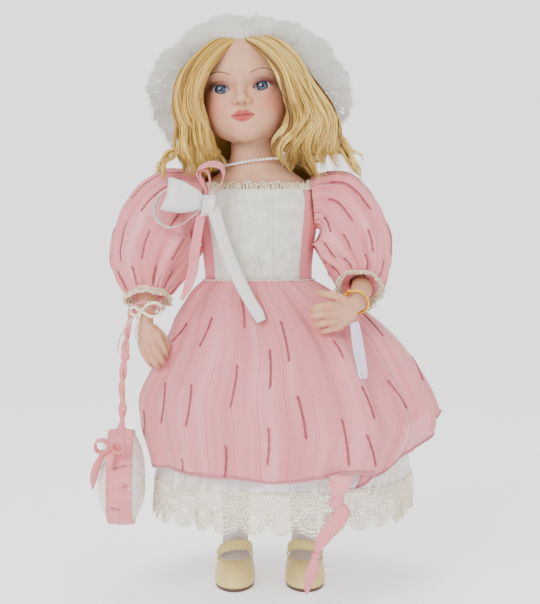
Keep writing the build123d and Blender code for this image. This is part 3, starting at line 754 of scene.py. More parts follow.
def make_painted_hair():
    """Brows and lashes painted on with a fine brush: thin tapered strokes laid on the surface."""
    strokes = Heap()
    random = np.random.default_rng(11)
    face_y = front_of_face()
    for side in (-1, 1):
        # brow: many fine strokes that follow one arch
        for k in range(46):
            t = k / 45
            x0 = 7.6 + 16.5 * t
            z0 = 0.6 + 5.0 * math.sin(math.pi * (0.10 + 0.62 * t)) - 2.2 * max(t - 0.6, 0)
            slope = 0.55 - 1.25 * t
            reach = (3.2 - 1.0 * t) * (0.8 + 0.4 * random.random())
            s = np.linspace(0, 1, 7)
            x = x0 + reach * s
            z = z0 - 0.55 * (1 - t) + reach * s * slope + random.normal(0, 0.10)
            path = to_world(onto_head(face_y, side * x, z, 0.04))
            width = (0.52 - 0.16 * t) * np.sin(math.pi * np.clip(s * 0.85 + 0.12, 0, 1))
            strokes.add(tube(path, width, 4, flat=0.35), 0.4 + 0.3 * random.random())
        # upper lashes fan out from the lid
        for k in range(17):
            t = k / 16
            x0 = EYE[0] - 6.4 + 13.6 * t
            z0 = EYE[2] + 0.9 * (x0 - EYE[0]) / 7.7 + 4.6 * lid_bulge(x0) + 0.3
            lean = -0.30 + 1.45 * t
            reach = 2.3 + 1.3 * t
            s = np.linspace(0, 1, 6)
            x = x0 + lean * reach * s * (0.6 + 0.4 * s)
            z = z0 + reach * s * (1.0 - 0.35 * t)
            path = to_world(onto_head(face_y, side * x, z, 0.05))
            strokes.add(tube(path, 0.19 * (1 - s) + 0.035, 4, flat=0.4), 0.0)
        # short lower lashes
        for k in range(12):
            t = k / 11
            x0 = EYE[0] - 4.4 + 11.0 * t
            z0 = EYE[2] + 0.9 * (x0 - EYE[0]) / 7.7 - 4.2 * lid_bulge(x0) - 0.45
            s = np.linspace(0, 1, 5)
            x = x0 + (-0.2 + 0.9 * t) * 1.5 * s
            z = z0 - 1.35 * s
            path = to_world(onto_head(face_y, side * x, z, 0.05))
            strokes.add(tube(path, 0.085 * (1 - s) + 0.025, 4, flat=0.4), 0.2)
    n = Nodes("brush_brown", (0.2, 0.1, 0.06), 0.6)
    shade = n.stored("shade")
    n.link(n.mix(shade, (0.03, 0.008, 0.008), (0.15, 0.06, 0.025)), "Base Color")
    strokes.piece("painted_brows_and_lashes", n.material, "torso", slot="bisque")


# ---------------------------------------------------------------- hair
STRAND_SIDES = 3
STRAND_FLAT = 0.8


def many_tubes(paths, radii):
    """All strands at once: paths is strands by points by 3, radii is strands by points."""
    sides = STRAND_SIDES
    strands, points, _ = paths.shape
    tangent = unit(np.gradient(paths, axis=1))
    side = unit(np.cross(tangent, np.array((0.15, 1.0, 0.1))))
    lift = np.cross(side, tangent)
    ring = circle(full_turn(sides), side[:, :, None, :], STRAND_FLAT * lift[:, :, None, :])
    verts = paths[:, :, None, :] + radii[:, :, None, None] * ring
    i, j, k = (a.ravel() for a in np.meshgrid(*(np.arange(c) for c in (strands, points - 1, sides)),
                                              indexing="ij"))
    base, next_k = i * points * sides, (k + 1) % sides
    low, high = base + j * sides, base + (j + 1) * sides
    faces = np.stack((low + k, low + next_k, high + next_k, high + k), 1)
    return verts.reshape(-1, 3), faces.tolist()


def strand_tones(tone, paths):
    """One tone per strand, repeated for every point of its tube."""
    return np.broadcast_to(tone[:, None, None], (*paths.shape[:2], STRAND_SIDES)).reshape(-1)


def hair_material():
    n = Nodes("wig_fibre", (0.6, 0.45, 0.2), 0.38)
    shade = n.stored("shade")
    dark = n.mix(n.span(shade, 0.0, 0.25), (0.07, 0.024, 0.004), (0.30, 0.135, 0.020))
    middle = n.mix(n.span(shade, 0.25, 0.55), dark, (0.66, 0.41, 0.07))
    n.link(n.mix(n.span(shade, 0.55, 1.0), middle, (0.93, 0.72, 0.24)), "Base Color")
    n.set(Specular_IOR_Level=0.45, Sheen_Weight=0.1)
    return n.material


class Lock:
    """A mass of hair between guide curves: from the face's edge to the outside, each a path root to tip."""

    def __init__(self, guides, depth, wave, seed):
        self.guides = [np.asarray(g, dtype=float) for g in guides]
        self.depth, self.wave, self.seed = depth, wave, seed

    def paths(self, w, layer, points):
        """Paths at w across the guides and at layer, from 0 underneath to 1 on top."""
        curves = np.stack([smooth_path(g, points) for g in self.guides])
        at = np.clip(w, 0, 1) * (len(curves) - 1)
        k = np.minimum(at.astype(int), len(curves) - 2)
        f = (at - k)[:, None, None]
        f = f * f * (3 - 2 * f) * 0.4 + f * 0.6
        path = curves[k] * (1 - f) + curves[k + 1] * f
        s = np.linspace(0, 1, points)[None, :, None]
        swell = np.sin(math.pi * np.clip(0.08 + 0.92 * s, 0, 1)) ** 0.6
        return path + np.array(self.depth, dtype=float) * (layer[:, None, None] * swell)

    def strands(self, clumps, per_clump, points, radius):
        random = np.random.default_rng(self.seed)
        w_clump = np.repeat((np.arange(clumps) + 0.5 + random.uniform(-0.35, 0.35, clumps)) / clumps,
                            per_clump)
        layer_clump = np.repeat(random.uniform(0.25, 1.0, clumps), per_clump)
        count = clumps * per_clump
        spread = random.normal(0, 0.62 / clumps, count)
        layer = np.clip(layer_clump + random.normal(0, 0.16, count), 0, 1.15)
        path = self.paths(w_clump + spread, layer, points)
        s = np.linspace(0, 1, points)[None, :]
        tangent = unit(np.gradient(path, axis=1))
        sideways = unit(np.cross(tangent, np.array((0.0, -1.0, 0.25))))
        forward = np.cross(tangent, sideways)
        size, length = self.wave
        phase_clump = np.repeat(random.uniform(0, TAU, clumps) * 0.45, per_clump)
        phase = phase_clump + random.normal(0, 0.16, count)
        grow = np.clip((s - 0.12) * 1.6, 0, 1)
        angle = TAU * s * length + phase[:, None]
        path = path + sideways * (size * grow * np.sin(angle))[..., None]
        path = path + forward * (0.6 * size * grow * np.cos(angle * 1.1 + 0.7))[..., None]
        frizz = random.uniform(0.15, 0.5, count)[:, None] * grow
        path = path + sideways * (frizz * np.sin(angle * 3.7 + phase[:, None] * 9))[..., None]
        reach = np.clip(np.repeat(random.uniform(0.84, 1.0, clumps), per_clump)
                        + random.uniform(-0.09, 0.02, count), 0.6, 1.0)
        t = np.linspace(0, 1, points)
        shortened = np.stack([
            np.stack([np.interp(t * r, t, p[:, c]) for c in range(3)], 1) for p, r in zip(path, reach)
        ])
        radii = radius * random.uniform(0.7, 1.3, count)[:, None] * np.clip((1.02 - s) * 5.0, 0.12, 1.0)
        tone = np.repeat(random.normal(0.52, 0.15, clumps), per_clump) + random.normal(0, 0.13, count)
        return shortened, radii, tone


def shade_of(points, tone, shadows):
    """Strand tone, darkened within each shadow: its centre, its size along x, y and z, and its depth."""
    for centre, size, amount in shadows:
        near = np.exp(-np.sum(((points - np.asarray(centre)) / np.asarray(size)) ** 2, axis=-1))
        tone = tone - amount * near
    return np.clip(tone, 0.02, 1)


# under the chin on both sides, and at the parting
NECK_SHADOWS = [((20, -12, 332), (15, 22, 15), 0.52), ((-36, -8, 338), (10, 22, 13), 0.42),
                ((-23, -16, 426), (3.5, 14, 6), 0.30)]


def make_front_locks(material):
    right = Lock(
        [
            [(-23, -17, 425), (-35, -29, 413), (-46, -33, 397), (-50, -34, 381), (-50, -33, 364),
             (-44, -29, 347), (-36, -25, 335), (-38, -25, 325)],
            [(-24, -13, 428), (-40, -27, 419), (-55, -33, 401), (-59, -35, 380), (-58, -34, 359),
             (-52, -30, 342), (-47, -28, 329), (-49, -30, 318)],
            [(-26, -8, 429), (-44, -22, 422), (-61, -28, 404), (-67, -30, 382), (-66, -29, 360),
             (-61, -27, 343), (-56, -26, 330), (-61, -28, 319)],
            [(-30, -6, 427), (-49, -16, 419), (-66, -22, 400), (-72, -24, 378), (-73, -23, 358),
             (-70, -21, 343), (-68, -20, 331), (-74, -22, 322)],
        ],
        depth=(-1.5, -6.5, 0.0), wave=(3.3, 2.6), seed=3,
    )
    left = Lock(
        [
            [(-23, -17, 425), (-10, -31, 414), (1, -36, 400), (8.5, -37, 385), (12, -36, 369), (7, -32, 353),
             (3, -27, 339), (9, -25, 321)],
            [(-22, -13, 428), (-5, -28, 421), (10, -36, 405), (20, -38, 386), (25, -36, 366), (22, -32, 350),
             (18, -28, 333), (24, -28, 313)],
            [(-20, -8, 430), (2, -24, 424), (19, -32, 407), (30, -35, 387), (37, -34, 367), (40, -31, 349),
             (38, -28, 331), (43, -28, 309)],
            [(-17, -6, 428), (8, -18, 423), (24, -26, 406), (36, -29, 387), (47, -28, 367), (56, -25, 349),
             (58, -22, 334), (63, -23, 313)],
        ],
        depth=(2.0, -7.0, 0.0), wave=(4.0, 2.5), seed=5,
    )
    for lock, name, node in ((right, "right", "hair_lock_right"), (left, "left", "hair_lock_left")):
        paths, radii, tone = lock.strands(22, 34, 30, 0.42)
        verts, faces = many_tubes(paths, radii)
        piece = make_piece(f"hair_strands_{name}", verts, faces, material, "torso", replaces=(node,),
                           slot="wig_hair")
        tones = strand_tones(tone, paths)
        store_value(piece, "shade", shade_of(verts, tones, NECK_SHADOWS))
        # the mass underneath, ridged along the strands, in a darker tone: painted shade for the hair deep in
        # the lock
        rows, columns = 60, 46
        w = np.linspace(0, 1, rows)
        under = lock.paths(w, np.full(rows, 0.15), columns + 9)[:, :columns]
        ridge = 0.9 * np.sin(np.arange(rows) * 2.1)[:,
                                                    None] * np.sin(math.pi * np.linspace(0.05, 1,
                                                            columns))[None, :]
        top = under + np.array((0, -1.0, 0)) * ridge[..., None]
        s = np.linspace(0, 1, columns)[None, :, None]
        thick = np.sin(math.pi * np.clip(s * 0.9 + 0.1, 0, 1)) ** 0.5
        thick = thick * np.sin(math.pi * np.clip(w, 0.03, 0.97))[:, None, None]
        inner = top + np.array((0, 9.0, 0)) * thick
        verts = np.vstack((top.reshape(-1, 3), inner.reshape(-1, 3)))
        faces = grid_faces(rows, columns) + [f[::-1]
                                             for f in grid_faces(rows, columns, start=rows * columns)]
        faces += wall(grid_rim(rows, columns), rows * columns)
        mass = make_piece(f"hair_mass_{name}", verts, faces, material, "torso", slot="wig_hair")
        store_value(mass, "shade", shade_of(verts, np.full(len(verts), 0.36), NECK_SHADOWS))


def make_side_hair(material):
    """Hair at the sides, from the temples over the ears to behind them."""
    # guides of the right side, front to back; the left side mirrors them about the head's middle
    beside = [
        [(-50, -22, 415), (-60, -25, 395), (-62, -25, 375), (-60, -23, 355), (-55, -21, 338),
         (-53, -19, 322)],
        [(-52, -8, 420), (-62, -10, 400), (-64.5, -11, 378), (-62, -10, 356), (-58, -9, 338),
         (-56, -8, 320)],
        [(-50, 6, 420), (-61, 5, 400), (-63, 4, 378), (-60, 3, 356), (-56, 3, 338), (-53, 4, 318)],
        [(-47, 20, 416), (-55, 20, 398), (-58, 16, 378), (-55, 12, 356), (-50, 12, 338), (-47, 14, 316)],
    ]
    for k, (name, mirror) in enumerate((("right", 1), ("left", -1))):
        middle = HEAD_AT[0]
        guides = [[(middle + mirror * (x - middle), y, z) for x, y, z in guide] for guide in beside]
        if name == "left":  # a fan that spreads towards the sleeve
            guides.append([(10, 19, 404), (22, 19, 386), (32, 20, 368), (39, 21, 351), (43, 21, 336),
                           (46, 20, 319)])
        lock = Lock(guides, depth=(-2.0 * mirror, 0, 0), wave=(1.9, 2.0), seed=51 + k)
        paths, radii, tone = lock.strands(18, 26, 24, 0.45)
        verts, faces = many_tubes(paths, radii)
        tones = strand_tones(tone, paths)
        # a backing sheet, a little shorter than the strands, in a darker tone: painted shade seen between
        # them
        rows, columns = 40, 24
        sheet = lock.paths(np.linspace(0, 1, rows), np.zeros(rows), columns + 4)[:, :columns]
        faces = faces + grid_faces(rows, columns, start=len(verts))
        verts = np.vstack((verts, sheet.reshape(-1, 3)))
        tones = np.concatenate((tones, np.full(rows * columns, 0.34)))
        piece = make_piece(f"hair_side_{name}", verts, faces, material, "torso", slot="wig_hair")
        store_value(piece, "shade", shade_of(verts, tones, NECK_SHADOWS))


def make_curls(material):
    """Loose curls that stand away from the ends of the locks."""
    wisps = [
        ([(-62, -27, 362), (-70, -26, 346), (-78, -26, 337), (-86, -27, 330), (-91, -27, 326)],
         [(-64, -26, 352), (-70, -26, 338), (-76, -26, 329), (-82, -27, 321), (-88, -27, 318)]),
        ([(44, -27, 366), (54, -26, 352), (62, -25, 342), (68, -24, 334), (72, -24, 325)],
         [(42, -26, 356), (50, -25, 342), (58, -24, 333), (66, -23, 322), (66, -23, 312)]),
    ]
    for k, (guides, name) in enumerate(zip(wisps, ("right", "left"))):
        paths, radii, tone = Lock(guides, depth=(0, -3, 0), wave=(3.2, 1.7), seed=31 + k).strands(7, 12, 30,
                0.30)
        verts, faces = many_tubes(paths, radii)
        piece = make_piece(f"hair_wisps_{name}", verts, faces, material, "torso", slot="wig_hair")
        store_value(piece, "shade", np.clip(strand_tones(tone + 0.12, paths), 0, 1))


def make_hair_cap(material):
    """The hair on the skull, drawn in at the forehead."""
    columns, rows = 120, 70
    drop = np.linspace(math.radians(89), math.radians(-38), rows)
    turn, drop = np.meshgrid(full_turn(columns), drop, indexing="xy")
    direction = np.stack((np.sin(turn) * np.cos(drop), -np.cos(turn) * np.cos(drop), np.sin(drop)), -1)
    shell = np.array((0, 3.5, 3.0)) + direction * np.array((39.6, 43.0, 38.4))
    grain = np.sin(turn * 46 + 4 * np.sin(drop * 3)) * 0.25
    shell = shell + direction * grain[..., None]
    front = np.clip((-shell[..., 1] - 17 + 0.25 * np.abs(shell[..., 0])) / 6, 0, 1) * (shell[..., 2] < 34)
    shell = shell * (1 - 0.22 * front[..., None])
    verts = to_world(shell.reshape(-1, 3))
    faces = grid_faces(rows, columns, wrap_columns=True) + [list(range(columns))]
    cap = make_piece("hair_cap_strands", verts, faces, material, "torso", replaces=("hair_cap",),
                     slot="wig_hair")
    tones = 0.42 + 0.08 * np.sin(np.tile(turn[0], rows) * 46)
    store_value(cap, "shade", shade_of(verts, tones, NECK_SHADOWS))


def make_back_fall(material):
    """The fall of hair over the back of the neck."""
    guides = []
    for a in np.linspace(math.radians(-96), math.radians(96), 11):
        x, y = math.sin(a), math.cos(a)
        sections = [(356, 30, 25), (340, 43, 32), (325, 49, 37), (308, 50, 41), (293, 49, 42), (281, 46, 41)]
        low = 10 * abs(math.sin(a)) ** 3
        guides.append([(-12.5 + x * rx, 3 + y * ry, z + low * (356 - z) / 75) for z, rx, ry in sections])
    fall = Lock(guides, depth=(0, 2.2, 0), wave=(1.5, 2.2), seed=9)
    paths, radii, tone = fall.strands(30, 22, 22, 0.45)
    verts, faces = many_tubes(paths, radii)
    tones = strand_tones(tone, paths)
    # a backing of two skins, the inner one a twentieth nearer to the neck, in a darker tone: painted shade
    # seen between the strands
    rows, columns = 60, 30
    sheet = fall.paths(np.linspace(0, 1, rows), np.zeros(rows), columns)
    inner = sheet + (np.array((-12.5, 3.0, 0)) - sheet * np.array((1, 1, 0))) * 0.05
    body = np.vstack((sheet.reshape(-1, 3), inner.reshape(-1, 3)))
    faces = faces + grid_faces(rows, columns, start=len(verts))
    faces = faces + [f[::-1] for f in grid_faces(rows, columns, start=len(verts) + rows * columns)]
    verts = np.vstack((verts, body))
    piece = make_piece("hair_back_fall", verts, faces, material, "torso", slot="wig_hair")
    store_value(piece, "shade",
                shade_of(verts, np.concatenate((tones, np.full(len(body), 0.40))), NECK_SHADOWS[:2]))


def make_hair():
    material = hair_material()
    make_front_locks(material)
    make_side_hair(material)
    make_curls(material)
    make_hair_cap(material)
    make_back_fall(material)


# ---------------------------------------------------------------- hat
HAT_AT = np.array((-16.0, 4.0, 377.5))
HAT_LEAN = math.radians(62)
HAT_AXIS = np.array((0.0, math.sin(HAT_LEAN), math.cos(HAT_LEAN)))
HAT_X = np.array((1.0, 0.0, 0.0))
HAT_UP = np.cross(HAT_X, HAT_AXIS)  # up or down the brim, whichever ends above
HAT_UP = HAT_UP if HAT_UP[2] > 0 else -HAT_UP
SEAM_R = 52.2  # of the seam between crown and brim
BRIM_DROP = -8.0  # of the brim's edge along the hat's axis


def hat_point(across, up, along):
    return HAT_AT + across[..., None] * HAT_X + up[..., None] * HAT_UP + along[..., None] * HAT_AXIS


def eyelet_material():
    """White cotton lace: a fine net with scattered pin-holes that show what is behind."""
    n = Nodes("hat_lace", (0.80, 0.80, 0.77), 0.85)
    place = n.coordinates("UV")
    net = n.add("ShaderNodeTexVoronoi", {"Vector": place, "Scale": 620.0}, feature="DISTANCE_TO_EDGE")
    threads = n.span(net.outputs["Distance"], 0.02, 0.16, 1.0, 0.0)
    clouds = n.noise(place, 55.0)
    n.link(n.mix(n.span(clouds, 0.3, 0.72), (0.84, 0.84, 0.80), (0.66, 0.67, 0.64)), "Base Color")
    dots = n.add("ShaderNodeTexVoronoi", {"Vector": place, "Scale": 260.0})
    cluster = n.span(n.noise(place, 26.0, 1.0), 0.52, 0.58)
    size = n.math("MULTIPLY", cluster, 0.25)
    hole = n.math("LESS_THAN", dots.outputs["Distance"], size)
    n.link(n.math("SUBTRACT", 1.0, hole), "Alpha")
    height = n.math("ADD", n.math("MULTIPLY", threads, 0.7), n.math("MULTIPLY", n.noise(place, 240.0), 0.6))
    n.bump(height, 0.8, 0.0009)
    n.set(Sheen_Weight=0.3, Sheen_Roughness=0.6)
    return n.material


def brim_edge(turn):
    """How far the brim's edge lies from the crown's middle; 0 is the doll's left, 90 degrees is up."""
    c, s = np.cos(turn), np.sin(turn)
    lift, a, b = 9.0, 79.0, 66.0
    # distance to an ellipse centred a little above the crown's middle
    k = (c / a) ** 2 + (s / b) ** 2
    m = -lift * s / b**2
    base = (-m + np.sqrt(m**2 - k * ((lift / b) ** 2 - 1))) / k
    ragged = 1.3 * np.sin(7 * turn + 1.0) + 1.0 * np.sin(17 * turn
            + 2.0) + 0.5 * np.sin(43 * turn) + 0.35 * np.sin(71 * turn + 1)
    return base + ragged


def brim_wave(turn):
    """How far the brim's edge waves along the hat's axis."""
    return 1.9 * np.sin(4 * turn + 0.6) + 1.3 * np.sin(9 * turn + 2.2) + 0.5 * np.sin(23 * turn)


def make_hat():
    lace = eyelet_material()
    rows, columns = 44, 360
    turn = full_turn(columns)
    edge = brim_edge(turn)
    t = np.linspace(0, 1, rows)[:, None]
    radius = SEAM_R + (edge - SEAM_R) * t
    c, s = np.cos(turn), np.sin(turn)
    flare = BRIM_DROP * t + 1.2 * np.sin(math.pi * t)
    wavy = t**1.5 * brim_wave(turn)
    gather = (1 - t) ** 2 * 0.55 * np.sin(90 * turn) + 0.3 * np.sin(40 * turn + 3 * t) * (1 - t)
    points = hat_point(radius * c, radius * s, flare + wavy + gather)
    uv = np.stack((radius * c, radius * s), -1).reshape(-1, 2) * MM
    brim = make_cloth("hat_brim_lace", points, 0.9, uv, lace, "hat", replaces=("hat_brim",),
                      slot="hat_cloth")

    # crown: a soft dome with gathers at the brim and shallow dents
    rows = 60
    profile = smooth_path([(54, 0), (53.9, 10), (53.0, 24), (50.0, 37), (43.5, 48), (32, 57), (17, 63),
                           (1.5, 65)], rows)
    r, depth = profile[:, 0][:, None], profile[:, 1][:, None]
    t = np.linspace(0, 1, rows)[:, None]
    pleats = 0.9 * np.exp(-t * 6) * np.sin(60 * turn) + 0.5 * np.exp(-t * 2.2) * np.sin(31 * turn + 1.0)
    r = r + pleats * (r / 54)
    base = hat_point(r * c, r * s, depth + 0 * turn)
    base = base + unit(base - (HAT_AT + 20 * HAT_AXIS)) * (1.1 * ripple(base, 0.045)
            * np.clip(t * 3, 0, 1))[..., None]
    arc = np.concatenate(([0], np.cumsum(np.linalg.norm(np.diff(profile[:, :2], axis=0), axis=1))))[:, None]
    uv = np.stack((np.cos(turn) * (118 - arc), np.sin(turn) * (118 - arc)), -1).reshape(-1, 2) * MM
    crown = make_cloth("hat_crown_lace", base, 1.0, uv, lace, "hat", replaces=("hat_crown",),
                       slot="hat_cloth")

    # the seam cord between crown and brim, and the loops of lace round the brim's edge
    loops = Heap()
    seam_r = 53.2 + 0.3 * np.sin(30 * turn)
    loops.add(tube(hat_point(seam_r * c, seam_r * s, 0.2 + 0 * turn), 0.8, 6, closed=True, up=HAT_AXIS), 0.5)
    random = np.random.default_rng(21)
    count = 190
    for k in range(count):
        a0 = TAU * k / count
        width = TAU / count * random.uniform(0.9, 1.6)
        u = np.linspace(0, 1, 9)
        a = a0 + width * (u - 0.5)
        height = random.uniform(1.6, 3.2) * np.sin(math.pi * u)
        r = brim_edge(a) - 0.5 + height
        along = BRIM_DROP + brim_wave(a) + random.uniform(-0.7, 0.7) * np.sin(math.pi * u)
        loops.add(tube(hat_point(r * np.cos(a), r * np.sin(a), along), 0.36, 4, up=HAT_AXIS),
                  random.random())
    n = Nodes("lace_thread_white", (0.88, 0.88, 0.86), 0.85)
    n.bump(n.noise(n.coordinates(), 900.0), 0.3, 0.0003)
    edging = loops.piece("hat_edge_loops", n.material, "hat", slot="hat_cloth")


# ---------------------------------------------------------------- dress
PINK = (0.80, 0.285, 0.30)
PINK_SHADE = (0.68, 0.185, 0.205)
ROSE = (0.30, 0.035, 0.055)
ROSE_PALE = (0.46, 0.08, 0.11)
SEAM_EVERY = 0.0195  # between the woven lines of the pink cloth, in metres


def organza_material(name, alpha):
    """Thin pink cloth with a slubby weave, fine darker lines woven in down its length, and soft lighter and
    darker streaks of painted light and shade down it, as if from folds.
    """
    n = Nodes(name, PINK, 0.7)
    place = n.coordinates("UV")
    u = n.add("ShaderNodeSeparateXYZ", {"Vector": place}).outputs["X"]
    wander = n.math("MULTIPLY", n.noise(place, 30.0, 1.0), 0.003)
    cell = n.math("FRACT", n.math("DIVIDE", n.math("ADD", u, wander), SEAM_EVERY))
    off = n.math("ABSOLUTE", n.math("SUBTRACT", cell, 0.5))
    line = n.span(off, 0.471, 0.492)
    beside = n.span(off, 0.40, 0.47)
    across = n.noise(n.stretch(place, (140.0, 2600.0, 1.0)), 1.0, 2.0)
    down = n.noise(n.stretch(place, (2600.0, 140.0, 1.0)), 1.0, 2.0)
    weave = n.math("ADD", across, down)
    clouds = n.noise(n.coordinates(), 16.0)
    # painted light and shade: soft lighter and darker pink streaks down the cloth, as if from folds
    folds = n.noise(n.stretch(place, (75.0, 4.0, 1.0)), 1.0, 2.0)
    colour = n.mix(n.span(clouds, 0.3, 0.7, 0.0, 0.7), PINK, PINK_SHADE)
    colour = n.mix(n.span(folds, 0.50, 0.66, 0.0, 0.38), colour, (0.88, 0.45, 0.46))
    colour = n.mix(n.span(folds, 0.48, 0.34, 0.0, 0.40), colour, (0.55, 0.12, 0.14))
    colour = n.mix(n.span(weave, 0.75, 1.25, 0.0, 0.30), colour, (0.56, 0.13, 0.15))
    broken = n.span(n.noise(n.stretch(place, (200.0, 420.0, 1.0)), 1.0, 1.0), 0.35, 0.6, 0.45, 1.0)
    colour = n.mix(n.math("MULTIPLY", n.math("MULTIPLY", line, 0.62), broken), colour, (0.42, 0.06, 0.085))
    n.link(colour, "Base Color")
    open_weave = n.math("ADD", n.span(weave, 0.8, 1.2, alpha - 0.07, alpha + 0.05),
                        n.math("MULTIPLY", beside, 0.1))
    n.link(n.math("MINIMUM", open_weave, 1.0), "Alpha")
    n.bump(n.math("ADD", weave, n.math("MULTIPLY", line, 0.8)), 0.3, 0.0003)
    n.set(Sheen_Weight=0.25, Sheen_Roughness=0.45)
    return n.material


def thread_material(name, dark, pale, roughness=0.7):
    """Twisted thread; its tone comes from each strand."""
    n = Nodes(name, pale, roughness)
    shade = n.stored("shade")
    n.link(n.mix(shade, dark, pale), "Base Color")
    n.bump(n.noise(n.coordinates(), 1600.0, 2.0), 0.4, 0.0003)
    n.set(Sheen_Weight=0.2)
    return n.material


def ovals(sections, rows, turn):
    """A grid of points through elliptical sections (z, x, y, a, b), each centred on x, y."""
    profile = smooth_path(sections, rows)
    z, x, y, a, b = (profile[:, k][:, None] for k in range(5))
    return np.stack((x + a * np.cos(turn), y + b * np.sin(turn), z + 0 * turn), -1)


def squiggle(path, normal, size=1.1):
    """A zigzag of thread stitched along a path, size to either side of it."""
    pitch, radius = 2.0, 0.5
    path = np.asarray(path, dtype=float)
    length = np.concatenate(([0], np.cumsum(np.linalg.norm(np.diff(path, axis=0), axis=1))))
    count = max(int(length[-1] / pitch * 4), 8)
    s = np.linspace(0, length[-1], count)
    p = np.stack([np.interp(s, length, path[:, c]) for c in range(3)], 1)
    n = unit(np.stack([np.interp(s, length, normal[:, c]) for c in range(3)], 1))
    side = unit(np.cross(unit(np.gradient(p, axis=0)), n))
    swing = size * np.sin(s / pitch * TAU) * (0.75 + 0.25 * np.sin(s * 0.9))
    p = p + side * swing[:, None] + n * (0.35 + 0.25 * np.cos(s / pitch * TAU))[:, None]
    return tube(p, radius, 5)


class Surface:
    """A grid that threads and lace can be laid on, by its own row and column from 0 to 1.

    The normals point away from inside, a point on the inner side of the cloth.
    """

    def __init__(self, grid, inside, wrap=True):
        self.grid, self.wrap = grid, wrap
        du = (np.roll(grid, -1, 1) - np.roll(grid, 1, 1)) if wrap else np.gradient(grid, axis=1)
        normal = unit(np.cross(du, np.gradient(grid, axis=0)))
        away = np.sum(normal * (grid - np.asarray(inside, dtype=float)), axis=-1)
        self.normal = normal * (1 if np.median(away) > 0 else -1)

    def at(self, u, v, lift=0.0):
        """Points at u round the columns and v down the rows, and the normals there."""
        rows, columns = self.grid.shape[:2]
        u, v = np.broadcast_arrays(np.asarray(u, dtype=float), np.asarray(v, dtype=float))
        c = (u % 1.0) * columns if self.wrap else np.clip(u, 0, 1) * (columns - 1.001)
        r = np.clip(v, 0, 1) * (rows - 1.001)
        i, j = r.astype(int), c.astype(int)
        f, g = (r - i)[..., None], (c - j)[..., None]
        j2 = (j + 1) % columns if self.wrap else j + 1
        out = []
        for data in (self.grid, self.normal):
            top = data[i, j % columns] * (1 - g) + data[i, j2] * g
            low = data[i + 1, j % columns] * (1 - g) + data[i + 1, j2] * g
            out.append(top * (1 - f) + low * f)
        normal = unit(out[1])
        return out[0] + normal * np.asarray(lift)[..., None], normal


SKIRT_WAIST = 238.5
SKIRT_HEM = 97.0  # where it isn't lifted at the doll's left
SKIRT_SECTIONS = [
    (238.5, -9, 1, 42.6, 32.6), (226, -5, 1, 57, 42), (212, 2, 0, 75, 55), (190, 9, 0, 91.5, 75),
    (170, 11, 0, 104, 88), (149, 12, 0, 115, 98), (130, 15, 0, 118, 105), (112, 14, 0, 113, 108),
    (97, 13, 0, 107, 108.5),
]
FOLD_AT = math.radians(-57)  # where the front of the skirt laps over its left side


